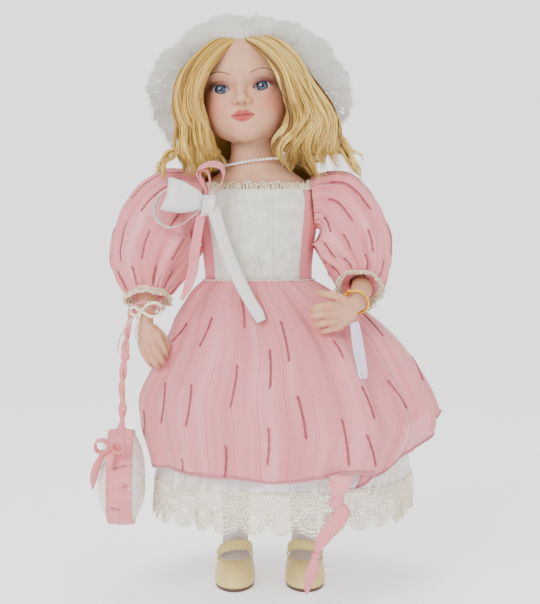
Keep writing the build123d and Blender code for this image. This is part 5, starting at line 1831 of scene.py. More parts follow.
def ribbon(path, width, thickness, across, count=60, curl=0.0):
    """A flat strip along a path; across is its width direction, one for all or one per given point."""
    p = smooth_path(path, count)
    across = np.asarray(across, dtype=float)
    if across.ndim == 1:
        across = np.tile(across, (len(path), 1))
    side = smooth_path(across, count)
    tangent = unit(np.gradient(p, axis=0))
    side = unit(side - np.sum(side * tangent, axis=1, keepdims=True) * tangent)
    normal = unit(np.cross(tangent, side))
    steps = 7
    s = np.linspace(-1, 1, steps)
    widths = np.interp(np.linspace(0, 1, count), np.linspace(0, 1, len(np.atleast_1d(width))),
                       np.atleast_1d(width))
    grid = p[:, None, :] + side[:, None, :] * (s[None, :, None] * widths[:, None, None] / 2)
    grid = grid + normal[:, None, :] * (curl * (s**2)[None, :, None] * widths[:, None, None])
    return two_sided(grid, thickness, wrap_columns=False)


def ribbon_material(name, colour, shade, roughness=0.45):
    """Satin ribbon: fine ribs across, and a soft shine."""
    n = Nodes(name, colour, roughness)
    place = n.coordinates()
    ribs = n.noise(n.stretch(place, (900.0, 900.0, 5200.0)), 1.0, 1.0)
    clouds = n.noise(place, 70.0)
    tint = n.mix(n.span(clouds, 0.3, 0.7), colour, shade)
    n.link(n.mix(n.span(ribs, 0.4, 0.7, 0.0, 0.3), tint, dimmed(shade, 0.8)), "Base Color")
    n.bump(ribs, 0.25, 0.0002)
    n.set(Sheen_Weight=0.3, Sheen_Roughness=0.4)
    return n.material


def make_bangle():
    """Gilt bangle: a ring with fine turned ridges, and a little wire knot."""
    gold = Nodes("gilt_metal", (0.72, 0.40, 0.05), 0.30)
    gold.bump(gold.noise(gold.coordinates(), 900.0), 0.15, 0.0002)
    gold.set(Metallic=1.0)
    wrist, elbow = np.array((64.0, -55, 222)), np.array((72.0, -10, 240))
    arm = unit(elbow - wrist)
    centre = wrist + arm * 3.0
    side = unit(np.cross(arm, (0.1, 0.2, 1.0)))
    lift = np.cross(side, arm)
    a = full_turn(260)
    ring = centre + 9.3 * circle(a, side, lift)
    heap = Heap()
    heap.add(tube(ring, 1.30 + 0.12 * np.cos(a * 60), 12, closed=True, up=arm))
    for offset in (-1.0, 1.0):
        heap.add(tube(ring + arm * offset, 0.35, 6, closed=True, up=arm))
    toward = np.array((-0.55, -0.35, 0.75))
    top = centre + 9.6 * unit(toward - np.dot(toward, arm) * arm)
    for k in range(3):
        b = full_turn(20)
        loop = top + 1.7 * circle(b, unit(side + 0.5 * k * arm), unit(lift - 0.4 * k * arm))
        heap.add(tube(loop, 0.5, 6, closed=True, up=arm + 0.1))
    heap.piece("gilt_bangle", gold.material, "arm_left", replaces=("bangle_left",), slot="gilt")


def make_lavender_loop():
    lavender = ribbon_material("ribbon_lavender", (0.72, 0.62, 0.76), (0.62, 0.50, 0.68))
    heap = Heap()
    loop = [(62, -66.5, 208), (62.6, -69.5, 198), (64.2, -73, 186), (66.3, -77, 175), (67.6, -79.5, 169.8),
            (69.4, -79.2, 170.8), (69.0, -76, 178), (67.4, -72.3, 190), (65.2, -67.5, 203),
            (63.5, -64.5, 209)]
    heap.add(ribbon(loop, 4.6, 0.35, (0.93, 0.1, 0.25), 90, curl=0.04))
    piece = heap.piece("lavender_ribbon_loop", lavender, "arm_left", replaces=("ribbon_loop_left",),
                       slot="ribbon_lavender")


def make_wrist_bow():
    cream = ribbon_material("ribbon_cream", (0.82, 0.76, 0.60), (0.74, 0.66, 0.48))
    heap = Heap()
    wrist, elbow = np.array((-95.0, -33, 213)), np.array((-93.0, -13, 248))
    arm = unit(elbow - wrist)
    side = unit(np.cross(arm, (0.0, 1.0, 0.1)))
    lift = np.cross(side, arm)
    a = full_turn(60)
    ring = wrist + arm * 6.5 + 7.9 * circle(a, side, lift)
    heap.add(tube(ring, 1.0, 8, closed=True, up=arm, flat=0.5), 0.6)
    knot = np.array((-98.0, -41.5, 216.0))
    heap.add(blob(knot, (2.0, 1.4, 1.7), np.eye(3), 10), 0.6)
    heap.add(ribbon([knot, (-93, -45.5, 221), (-86.5, -46.5, 222.5), (-82, -45, 219), (-84.5, -44, 213.5),
                     (-91, -43.6, 212), knot], 2.2, 0.3, (0.1, 0.3, 1.0), 60))
    heap.add(ribbon([knot, (-102, -44.5, 219), (-106, -45, 217.5), (-105, -44.5, 213.5), (-101, -43.5, 213),
                     knot], 2.0, 0.3, (0.1, 0.3, 1.0), 40))
    heap.add(ribbon([knot, (-104, -43.5, 211), (-110.5, -44, 203), (-114.6, -44.5, 193.5),
                     (-116, -44.5, 184.5)], 1.6, 0.3, (0.6, 0.75, -0.3), 50))
    heap.add(ribbon([knot, (-100.5, -45, 207), (-102, -46, 198.5), (-100.8, -46.5, 191)], 1.6, 0.3,
                    (0.9, 0.3, 0.2), 40))
    piece = heap.piece("wrist_bow_cream", cream, "arm_right", replaces=("wrist_ribbon_right",),
                       slot="ribbon_cream")


def make_necklace():
    """Small pearls on a thread, tied at the left, with the thread's two ends left long."""
    pearls, thread = Heap(), Heap()
    turn = np.array(Euler([math.radians(v) for v in (4, -8, 0)], "ZYX").to_matrix())
    centre = np.array((-12.0, 3.0, 332.6))
    count = 54
    a = full_turn(count)
    ring = centre + np.stack((25.3 * np.cos(a), 20.6 * np.sin(a), 0.5 * np.sin(3 * a)), 1) @ turn.T
    for k, point in enumerate(ring):
        r = 1.34 + 0.07 * math.sin(12.7 * k)
        pearls.add(blob(point, (r, r, r * 0.95), np.eye(3), 9), 0.5 + 0.4 * math.sin(5.3 * k))
    fine = smooth_path(ring, 240, closed=True)
    thread.add(tube(fine, 0.25, 5, closed=True), 0.5)
    knot = centre + np.array((25.6 * math.cos(-0.62), 21.0 * math.sin(-0.62), 0)) @ turn.T + np.array((0.4,
            -1.2, 0.6))
    for k in range(3):
        pearls.add(blob(knot + np.array((1.7 * k - 1.0, -0.6, 1.1 * k)), (1.5, 1.4, 1.4), np.eye(3), 9), 0.7)
    b = np.linspace(0, TAU, 24)
    thread.add(tube(knot + np.stack((1.7 * np.sin(b), -0.8 + 0.4 * np.cos(b), 1.9 * np.cos(2 * b)), 1), 0.32,
                    5), 0.5)
    for tail in ([(1, -1, -1), (4.2, -2.0, -4.0), (6.6, -2.4, -9.4)],
                 [(0.5, -1, -1), (1.7, -2.2, -4.2), (0.8, -2.8, -7.4)],
                 [(1.5, -0.8, 0.5), (4.6, -1.4, 3.0), (7.4, -1.0, 2.2)]):
        thread.add(tube(knot + smooth_path(tail, 16), 0.26, 5), 0.5)
    n = Nodes("pearl", (0.86, 0.81, 0.72), 0.22)
    shade = n.stored("shade")
    n.link(n.mix(shade, (0.78, 0.71, 0.62), (0.92, 0.89, 0.84)), "Base Color")
    n.set(Coat_Weight=0.6, Coat_Roughness=0.15, Sheen_Weight=0.2)
    pearls.piece("pearl_beads", n.material, "torso", replaces=("pearl_necklace",), slot="pearl")
    thread.piece("necklace_thread", thread_material("nylon_thread", (0.75, 0.72, 0.66), (0.85, 0.83, 0.78)),
                 "torso", slot="pearl")


# ---------------------------------------------------------------- legs, socks and shoes
FOOT = [
    (3.2, 0, -12, 10.5, 25), (9, 0, -11, 11, 25), (16, 0, -4.5, 10.5, 18.5), (23, 0, 2.5, 9.5, 11.5),
    (34, 0, 4.5, 8.6, 9), (52, 0, 5, 9.4, 10), (72, 0, 4.5, 11, 11.5), (96, 0, 4, 11.5, 12),
]


def through(levels, rows):
    """A grid whose every column is one smooth curve through the given rings of points."""
    count = len(levels[0])
    return smooth_path(np.stack(levels).reshape(len(levels), -1), rows).reshape(rows, count, 3)


def leather_material(name, colour, shade, roughness=0.42):
    n = Nodes(name, colour, roughness)
    place = n.coordinates()
    cells = n.add("ShaderNodeTexVoronoi", {"Vector": place, "Scale": 900.0},
                  feature="DISTANCE_TO_EDGE").outputs["Distance"]
    clouds = n.noise(place, 45.0)
    tint = n.mix(n.span(clouds, 0.3, 0.75), colour, shade)
    scuffs = n.span(n.noise(n.stretch(place, (60.0, 260.0, 60.0)), 1.0, 4.0), 0.62, 0.78, 0.0, 0.5)
    n.link(n.mix(scuffs, tint, dimmed(shade, 0.72)), "Base Color")
    n.bump(n.math("ADD", n.span(cells, 0.0, 0.25), n.math("MULTIPLY", n.noise(place, 240.0), 0.5)), 0.18,
           0.0002)
    n.set(Specular_IOR_Level=0.45)
    return n.material


LEG_COLUMNS = 120


def leg_angles():
    """Angles once round a leg, with their cosines, outwards in x, and sines, backwards in y."""
    a = full_turn(LEG_COLUMNS)
    return a, np.cos(a), np.sin(a)


def sock_material():
    """Knit: ribs across rows, with painted shade that makes it darker and greyer low down in the shoe than up
    the leg.
    """
    knit = Nodes("sock_knit", (0.62, 0.53, 0.50), 0.9)
    place = knit.coordinates("UV")
    ribs = knit.wave(place, wave_scale(0.0014), "X")
    rows_of = knit.wave(place, wave_scale(0.0009), "Y")
    height = knit.math("ADD", ribs, knit.math("MULTIPLY", rows_of, 0.4))
    # painted shade: darker and greyer low down, where the shoe shades the sock
    up = knit.add("ShaderNodeSeparateXYZ", {"Vector": place}).outputs["Y"]
    tone = knit.mix(knit.span(up, 0.020, 0.042), (0.60, 0.50, 0.475), (0.84, 0.82, 0.79))
    knit.link(knit.mix(knit.span(height, 0.1, 0.9, 0.45, 0.0), tone, (0.46, 0.37, 0.35)), "Base Color")
    knit.bump(height, 0.5, 0.0003)
    knit.set(Sheen_Weight=0.3)
    return knit.material


def make_sock(name, x0, knit):
    """The sock rises from inside the shoe over the ankle, up the shin, to a soft turned top."""
    a, c, s = leg_angles()
    profile = smooth_path([(z, x0 + x, y, w + 1.35, d + 1.35) for z, x, y, w, d in FOOT[1:7]]
                          + [(80, x0, 4.4, 12.6, 13.2), (82.5, x0, 4.4, 13.0, 13.6),
                             (81, x0, 4.4, 12.2, 12.9)], 110)
    z, px, py, w, d = (profile[:, k][:, None] for k in range(5))
    wrinkle = 0.35 * np.sin(z * 0.9 + 1.5 * c) * np.exp(-(((z - 38) / 9) ** 2)) + 0.12 * np.sin(40 * a)
    grid = np.stack((px + (w + wrinkle) * c, py + (d + wrinkle) * s, z + 0 * a), -1)
    uv = np.stack((np.broadcast_to(a * 11, z.shape[:1] + a.shape),
                   np.broadcast_to(z, z.shape[:1] + a.shape)), -1).reshape(-1, 2) * MM
    make_piece(f"sock_{name}_knit", grid.reshape(-1, 3), grid_faces(110, LEG_COLUMNS, wrap_columns=True),
               knit, f"leg_{name}", uvs=uv,
               replaces=(f"sock_{name}",), slot="sock_knit")


def make_shoe_upper(name, x0, leather, stitch):
    """The shoe's upper, from the welt over the toe to the rim of the rounded opening."""
    leg = f"leg_{name}"
    a, c, s = leg_angles()
    heel = np.clip(s, 0, 1)
    toe = np.clip(-s, 0, 1)
    pinch = 1 + 0.06 * toe * np.abs(c)
    welt = np.stack((x0 + 14.6 * c * pinch, -13 + 30.4 * s, np.full(LEG_COLUMNS, 2.8)), -1)
    low = np.stack((x0 + 15.4 * c * pinch, -12.9 + 31.0 * s, 6.5 + 0 * a), -1)
    high = np.stack((x0 + 14.6 * c, -10.5 + 27.2 * s + 1.5 * heel, 13.0 + 2.0 * heel + 2.0 * toe**2), -1)
    rim_y = np.where(s > 0, -3 + 17.5 * s, -3 + 19.0 * s)
    rim = np.stack((x0 + 11.6 * c * (1 - 0.12 * toe), rim_y,
                    19.5 + 5.5 * heel + 0.8 * toe**3 - 1.2 * np.abs(c)), -1)
    shoulder = (high * 0.45 + rim * 0.55) + np.stack((0.9 * c, 1.2 * s, 1.7 * toe + 0.3), -1)
    grid = through([welt, low, high, shoulder, rim], 46)
    crease = 0.30 * np.sin(grid[..., 1]
                           * 1.1) * np.exp(-(((grid[..., 1] + 25) / 6) ** 2)) * (grid[..., 2] > 12)
    grid = grid + np.stack((0 * crease, 0 * crease, crease), -1)
    verts, faces = two_sided(grid, 1.0)
    make_piece(f"shoe_{name}_upper", verts, faces, leather, leg, replaces=(f"shoe_upper_{name}",),
               slot="shoe_cream")
    trims, surface = Heap(), Surface(grid, (x0, -12, 8))
    trims.add(tube(grid[-1] + np.array((0, 0, 0.1)), 0.75, 8, closed=True), 0.9)
    for v, count in ((0.93, 90), (0.07, 110)):
        for k in range(count):
            u = (k + np.linspace(0, 0.62, 3)) / count
            path, _ = surface.at(u, v, 0.6)
            trims.add(tube(path, 0.2, 4), 0.3)
    trims.piece(f"shoe_{name}_stitching", stitch, leg, slot="shoe_cream")


def make_shoe_sole(name, x0, leather):
    """A thin brown slab with a worn, rounded edge."""
    _, c, s = leg_angles()
    toe = np.clip(-s, 0, 1)
    levels = []
    for grow, height in ((-6, 0.0), (-0.8, 0.0), (0.0, 0.5), (0.1, 1.6), (-0.2, 2.5), (-4, 2.75)):
        wide = (15.0 + grow) * c * (1 + 0.05 * toe * np.abs(c))
        levels.append(np.stack((x0 + wide, -13 + (31.0 + grow) * s, np.full(LEG_COLUMNS, height)), -1))
    grid = np.stack(levels)
    faces = capped_faces(len(levels), LEG_COLUMNS)
    make_piece(f"shoe_{name}_sole", grid.reshape(-1, 3), faces, leather, f"leg_{name}",
               replaces=(f"shoe_sole_{name}",), slot="sole_brown")


def make_shoe_strap(name, x0, inner, leather, stitch):
    """A band round the front of the ankle, hinged at the inner side, higher there than outside."""
    t = np.linspace(0, math.pi, 70)[:, None]
    wide = np.linspace(0, 1, 12)[None, :]
    reach = 13.9 - 0.9 * wide
    lift = 23.0 + 8.5 * np.sin(t) ** 0.8 + 1.6 * inner * np.cos(t)
    front = np.sin(t) * (10.8 - 3.0 * wide) + 0.35 * np.sin(math.pi * wide)
    grid = np.stack((x0 + reach * np.cos(t), -6.6 - front, lift + 7.8 * wide - 4.4), -1)
    verts, faces = two_sided(grid, 0.9, wrap_columns=False)
    make_piece(f"shoe_{name}_strap", verts, faces, leather, f"strap_{name}",
               replaces=(f"shoe_strap_{name}",), slot="shoe_cream")
    trims, surface = Heap(), Surface(grid, (x0, -6, 25), wrap=False)
    for u in (0.10, 0.90):
        for k in range(34):
            v = (k + np.linspace(0, 0.6, 3)) / 34
            path, _ = surface.at(np.full(3, u), v, 0.55)
            trims.add(tube(path, 0.2, 4), 0.3)
    end = 0.93 if inner > 0 else 0.07
    middle, normal = surface.at(np.array([0.5]), np.array([end]), 1.0)
    # a flat button
    across = unit(np.cross(normal[0], UP))
    trims.add(blob(middle[0], (1.9, 1.9, 0.9), (across, unit(np.cross(across, normal[0])), normal[0]), 12),
              1.0)
    trims.piece(f"shoe_{name}_strap_trim", stitch, f"strap_{name}", slot="shoe_cream")


def make_thigh(name, x0, muslin):
    """The stuffed thigh under the skirt."""
    a, c, s = leg_angles()
    rows = 80
    profile = smooth_path([(178.0, x0 * 0.93, 1, 6), (174, x0 * 0.93, 1, 13), (166, x0 * 0.93, 1, 17.6),
                           (156, x0 * 0.93, 1, 18.2), (130, x0 * 0.96, 2.3, 15.8),
                           (108, x0 * 0.99, 3.6, 12.8), (100, x0, 4, 11.4), (98.6, x0, 4, 10.4)], rows)
    z, px, py, r = (profile[:, k][:, None] for k in range(4))
    r = r + 0.35 * np.sin(14 * a) * np.exp(-np.clip(z - 99, 0, None) / 7) + 0.3 * np.sin(3 * a + z * 0.15)
    grid = np.stack((px + r * c, py + r * s, z + 0 * a), -1)
    faces = capped_faces(rows, LEG_COLUMNS)
    uv = np.stack((np.broadcast_to(a * 15, grid.shape[:2]), grid[..., 2]), -1).reshape(-1, 2) * MM
    piece = make_piece(f"stuffed_thigh_{name}", grid.reshape(-1, 3), faces, muslin, f"leg_{name}", uvs=uv,
                       replaces=(f"thigh_{name}",), slot="muslin")


def make_drawers(name, x0, cotton):
    """One leg of the drawers."""
    a, c, s = leg_angles()
    rows = 50
    profile = smooth_path([(140, x0 * 0.95, 1.5, 20.6), (128, x0, 2.5, 19.6), (112, x0, 3.2, 18.4),
                           (105, x0, 3.5, 16.2), (103.5, x0, 3.5, 18.2)], rows)
    z, px, py, r = (profile[:, k][:, None] for k in range(4))
    r = r + 0.6 * np.sin(26 * a + 0.2 * z) * np.exp(-(((z - 106) / 9) ** 2)) + 0.25 * np.sin(9 * a + 0.3 * z)
    grid = np.stack((px + r * c, py + r * s, z + 0 * a), -1)
    piece = make_cloth(f"drawers_{name}_lawn", grid, 0.6, cloth_uv(grid), cotton, f"leg_{name}",
                       replaces=(f"drawers_{name}",), slot="drawers_cotton")


def make_legs():
    shoe_leather = leather_material("shoe_leather", (0.72, 0.58, 0.22), (0.62, 0.48, 0.16))
    sole_leather = leather_material("sole_leather", (0.105, 0.05, 0.035), (0.07, 0.032, 0.022), 0.55)
    stitch = thread_material("shoe_stitch", (0.52, 0.44, 0.25), (0.72, 0.64, 0.42))
    muslin = cloth_material("leg_muslin", (0.80, 0.77, 0.71), (0.70, 0.66, 0.58), 0.4, 0.3)
    cotton = cloth_material("drawers_lawn", (0.88, 0.87, 0.85), (0.80, 0.79, 0.77), 0.3, 0.25)
    knit = sock_material()
    # inner is the side of the other leg: 1 towards +X, -1 towards -X
    for name, x0, inner in (("right", -27.5, 1), ("left", 27.5, -1)):
        make_sock(name, x0, knit)
        make_shoe_upper(name, x0, shoe_leather, stitch)
        make_shoe_sole(name, x0, sole_leather)
        make_shoe_strap(name, x0, inner, shoe_leather, stitch)
        make_thigh(name, x0, muslin)
        make_drawers(name, x0, cotton)


# ---------------------------------------------------------------- ribbons, sash and bag
def make_white_bow(white):
    """At the right of the neckline: a folded loop with a pointed top, and a round loop behind it."""
    heap = Heap()
    knot = np.array((-48.0, -41.0, 297.0))
    front_loop = [(-49, -42, 297), (-57, -47, 300), (-67, -48.5, 303), (-75, -47.5, 304.5),
                  (-78, -44.8, 304.5), (-75, -43, 303.5), (-66, -43, 300.5), (-55, -42.5, 298),
                  (-49, -41.5, 297)]
    heap.add(ribbon(front_loop, [7, 16, 22, 25, 25, 25, 21, 13, 6], 0.45, (0.27, 0.06, 0.96), 90,
                    curl=-0.06), 0.6)
    back_loop = [knot, (-60, -42, 304), (-76, -41, 309), (-86, -40.5, 300), (-86.5, -41, 287.5),
                 (-78, -42.5, 280), (-67, -43, 282), (-57, -42.5, 289), knot]
    heap.add(ribbon(back_loop, 6.5, 0.4, (0.25, 1.0, 0.2), 90), 0.5)
    heap.add(ribbon([(-45.5, -42.5, 303.5), (-46, -45.5, 298), (-47.5, -44, 291.5), (-50, -41.5, 289)], 9.5,
                    1.6, (1, 0.1, 0.4), 24, curl=0.1), 0.7)
    bow = heap.piece("white_bow", white, None, replaces=("ribbon_bow_white",), slot="ribbon_white")
    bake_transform(bow)


def make_white_tail(white):
    heap = Heap()
    tail = [(-47.0, -42.0, 300), (-42, -43.5, 291), (-37.5, -42.0, 276), (-31.5, -42.0, 258),
            (-24.5, -43.0, 242), (-16.5, -50.5, 226.5), (-9.5, -58.5, 215.5), (-6.5, -62.0, 209.5)]
    heap.add(ribbon(tail, [8, 9.5, 9.0, 9.5, 9.8, 9.2, 9.0, 7.0], 0.9, (1.0, 0.05, 0.45), 90, curl=-0.05),
             0.6)
    piece = heap.piece("white_ribbon_tail", white, "torso", replaces=("ribbon_tail_white",),
                       slot="ribbon_white")


def make_pink_bow(pink):
    heap = Heap()
    centre = np.array((-44.0, -40.0, 316.0))
    loop = [(-47, -39.5, 303), (-50, -41, 312), (-54.5, -42, 321.5), (-49, -42, 326.5), (-42, -42, 327.5),
            (-36.5, -42, 325), (-35.2, -41.5, 318), (-39, -41, 309.5), (-43.5, -39.8, 301.5)]
    heap.add(ribbon(loop, [4, 6, 7.5, 7.5, 8, 8, 7.5, 6, 4], 0.6, (0.15, 0.75, 0.55), 80), 0.5)
    loop = [centre + np.array(v)
            for v in ((-3, 0.5, -9), (-7.5, -1.5, -1), (-8.5, -2, 5.5), (-3.5, -2.5, 6.5), (-1.5, -1, -1),
                      (-2.5, 0.5, -9.5))]
    heap.add(ribbon(loop, 5, 0.5, (0.2, 1.0, 0.3), 50), 0.5)
    piece = heap.piece("pink_bow", pink, "torso", replaces=("ribbon_bow_pink",), slot="ribbon_pink")


def make_pink_tail(pink):
    heap = Heap()
    tail = [(-50.0, -39.8, 301), (-53.5, -43, 282), (-57, -43.5, 262), (-58.5, -46, 247), (-62, -50, 235),
            (-66.5, -53.5, 225)]
    heap.add(ribbon(tail, [5, 7, 8, 8, 6.5, 2.5], 0.7, (0.9, 0.35, 0.15), 60, curl=0.06), 0.5)
    piece = heap.piece("pink_ribbon_tail", pink, "torso", slot="ribbon_pink")


def make_bows():
    pink = organza_material("pink_bow_cloth", 1.0)
    white = ribbon_material("ribbon_white", (0.74, 0.73, 0.69), (0.62, 0.61, 0.57), 0.42)
    make_white_bow(white)
    make_white_tail(white)
    make_pink_bow(pink)
    make_pink_tail(pink)


def leaf(path, widths, thickness, across, count=60, twist=0.0):
    """A soft rolled strip with a lens-shaped section, pinched where it is knotted."""
    p = smooth_path(path, count)
    widths = np.maximum(smooth_path([(w, 0, 0) for w in widths], count)[:, 0], 0.8)
    depths = np.interp(np.linspace(0, 1, count), np.linspace(0, 1, len(thickness)), thickness)
    tangent = unit(np.gradient(p, axis=0))
    t = np.linspace(0, 1, count)
    side = np.tile(np.asarray(across, dtype=float), (count, 1))
    side = unit(side - np.sum(side * tangent, axis=1, keepdims=True) * tangent)
    lift = np.cross(tangent, side)
    turn = twist * t[:, None]
    side, lift = side * np.cos(turn) + lift * np.sin(turn), lift * np.cos(turn) - side * np.sin(turn)
    a = full_turn(28)
    wrinkle = 1 + 0.10 * np.sin(7 * a + 14 * t[:, None]) + 0.06 * np.sin(11 * a - 21 * t[:, None])
    out_side = (np.cos(a) * wrinkle * widths[:, None] / 2)[..., None] * side[:, None]
    out_lift = (np.sin(a) * wrinkle * depths[:, None] / 2)[..., None] * lift[:, None]
    grid = p[:, None, :] + out_side + out_lift
    faces = capped_faces(count, len(a))
    return grid.reshape(-1, 3), faces


def make_sash():
    pink = organza_material("sash_cloth", 1.0)
    heap = Heap()
    path = [(51, -107.5, 101), (50, -105, 91), (48, -101.5, 83)]
    heap.add(leaf(path, [17, 13, 5], [3, 4, 5], (1, 0.1, 0.1), 24), 0.5)
    heap.add(blob((48, -101.5, 81.5), (6.2, 4.6, 4.6),
                  unit(np.array(((0.9, 0.1, 0.4), (0.1, 1, 0), (-0.4, 0, 0.9)))), 16), 0.5)
    path = [(48, -101, 80), (51.5, -100, 73), (48, -99, 66), (42, -98, 58), (36.5, -97, 49), (33.5, -96, 42)]
    heap.add(leaf(path, [6, 12, 12, 10, 7, 3.2], [4, 3, 3.5, 3, 3, 3], (0.95, 0.1, 0.5), 50, twist=0.5), 0.5)
    for k in range(3):
        b = full_turn(20)
        ring = np.array((33.4, -96, 42.5 - 1.5 * k)) + np.stack((2.6 * np.cos(b), 2.2 * np.sin(b),
                0.5 * np.sin(b + k)), 1)
        heap.add(tube(ring, 0.8, 6, closed=True), 0.5)
    path = [(33.3, -96, 40), (31.5, -95, 32), (29.5, -94, 25), (27.6, -93, 17), (26.6, -92.5, 11)]
    heap.add(leaf(path, [3.2, 8.5, 9, 6, 1.2], [3, 2.6, 2.4, 2, 1], (0.95, 0.2, 0.25), 44, twist=-0.3), 0.5)
    sash = heap.piece("sash_tail_pink", pink, None, replaces=("sash_tail",), slot="dress_pink")
    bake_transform(sash)


BAG_AT = np.array((-113.0, -45.0, 88.0))
BAG_COLUMNS = 160


def pouch(count):
    """The pouch's outline in side view, y and z from its middle, once round from the top."""
    points = np.array([(0, 36), (5, 35.6), (12, 27), (19, 12), (22.5, 0), (23, -12), (20, -23), (13, -30),
                       (0, -33)], dtype=float)
    both = np.vstack((points, points[-2:0:-1] * np.array((-1, 1))))
    return smooth_path(np.hstack((both, np.zeros((len(both), 1)))), count, closed=True)[:, :2]


def make_bag_band(outline, pink):
    """The gathered band round the pouch's edge, with a seam at the front."""
    count, columns = BAG_COLUMNS, 26
    out = unit(np.hstack((outline, np.zeros((count, 1)))))[:, :2]
    w = np.linspace(-1, 1, columns)
    a = full_turn(count)[:, None]
    swell = 1.3 * (1 - w**2) + 0.45 * np.sin(17 * a + 2 * w) * (0.3
            + np.abs(w)) + 0.35 * np.sin(31 * a) * w**2
    seam = -1.0 * np.exp(-(((outline[:, 1:2] + 4) / 1.0) ** 2)) * (outline[:, 0:1] < 0)
    r = swell + seam
    edge = outline[:, None, :] + out[:, None, :] * r[..., None]
    grid = np.concatenate(((w * 9.2 + 0 * a)[..., None], edge), -1) + BAG_AT
    grid = grid.transpose(1, 0, 2)
    uv = np.stack((grid[..., 0] - BAG_AT[0] + 9, np.broadcast_to(a[:, 0] * 27, grid.shape[:2])),
                  -1).reshape(-1, 2) * MM
    band = make_cloth("bag_band_pink", grid, 0.9, uv, pink, "bag", replaces=("bag_band",), slot="dress_pink")


def make_bag_sides(outline):
    """Two puffed sides, each from the band's edge to its middle, with a flange back to the pouch's middle."""
    cream = cloth_material("bag_cloth_cream", (0.84, 0.79, 0.70), (0.76, 0.68, 0.58), 0.35, 0.3)
    count, rows = BAG_COLUMNS, 26
    a = full_turn(count)
    rho = np.linspace(1, 0.02, rows)[:, None]
    puff = 9.0 + 8.2 * (1 - rho**2.6) + 0.7 * np.sin(13 * a + 3 * rho) * rho * (1 - rho) * 4
    y = outline[:, 0] * (rho * 0.985) + 0.4 * np.sin(9 * a) * rho
    z = outline[:, 1] * (rho * 0.985)
    heap = Heap()
    for side in (-1, 1):
        grid = np.stack((side * puff, y, z), -1) + BAG_AT
        faces = grid_faces(rows, count, wrap_columns=True) + [[(rows - 1) * count + k for k in range(count)]]
        verts = np.vstack((grid.reshape(-1, 3), grid[0] * np.array((0, 1, 1)) + np.array((BAG_AT[0], 0, 0))))
        flange = [[k, (k + 1) % count, rows * count + (k + 1) % count, rows * count + k]
                  for k in range(count)]
        heap.add((verts, faces + [f[::-1] for f in flange]), 0.5)
    uv = (np.vstack(heap.verts) - BAG_AT)[:, 1:] * MM
    sides = heap.piece("bag_sides_cream", cream, "bag", uvs=uv, replaces=("bag_sides", "bag_filling"),
                       slot="bag_cream")


def make_bag_stitching(outline):
    """Three dashes on the front of the band, and a thread along each of its edges."""
    trims = Heap()
    front = pouch(80)[40:]
    for x1, z1, x2, z2 in ((-4, 11, 6, 13.5), (-6, -18, 1, -19.5), (3, -2, 6.5, -1)):
        t = np.linspace(0, 1, 16)
        z = z1 + (z2 - z1) * t
        y = np.interp(z, front[:, 1], front[:, 0]) - 1.6
        path = np.stack((x1 + (x2 - x1) * t, y, z), 1) + BAG_AT
        trims.add(squiggle(path, np.tile((0.0, -1.0, 0.0), (16, 1)), 0.7), 0.3)
    for side in (-1, 1):
        edge = np.hstack((np.full((len(outline), 1), side * 9.3), outline * 1.015)) + BAG_AT
        trims.add(tube(edge, 0.6, 5, closed=True, up=np.array((1.0, 0.05, 0.05))), 0.75)
    trims.piece("bag_stitching", thread_material("bag_thread", ROSE, (0.72, 0.36, 0.38)), "bag",
                slot="dress_pink")


def make_bag_bow(pink):
    heap = Heap()
    knot = np.array((-118.5, -66.0, 116.0))
    heap.add(blob(knot, (3.4, 3.0, 3.2), np.eye(3), 12), 0.5)
    for loop, w in (([knot, (-124, -70, 121), (-129.5, -70.5, 120), (-129, -70, 113.5),
                      (-123.5, -69.5, 112.5), knot], 6.5),
                    ([knot, (-114.5, -70, 121.5), (-109.5, -69.5, 121), (-109, -69, 114.5),
                      (-113.5, -69, 112), knot], 6.0)):
        heap.add(ribbon(loop, w, 0.7, (0.1, 1.0, 0.3), 44), 0.5)
    heap.add(leaf([knot, (-125.5, -66.5, 109), (-130.0, -63, 100), (-132.6, -60, 90), (-133.4, -58.5, 82.5)],
                  [3, 8, 10, 7, 1.2], [2, 2.4, 2.2, 2, 1], (0.6, 0.7, 0.3), 44), 0.5)
    heap.add(leaf([knot, (-119.5, -69.5, 109), (-119, -70.5, 101.5)], [3, 7, 2.5], [2, 2, 1],
                  (0.9, 0.1, 0.1), 20), 0.5)
    piece = heap.piece("bag_bow_pink", pink, "bag", replaces=("bag_bow",), slot="dress_pink")


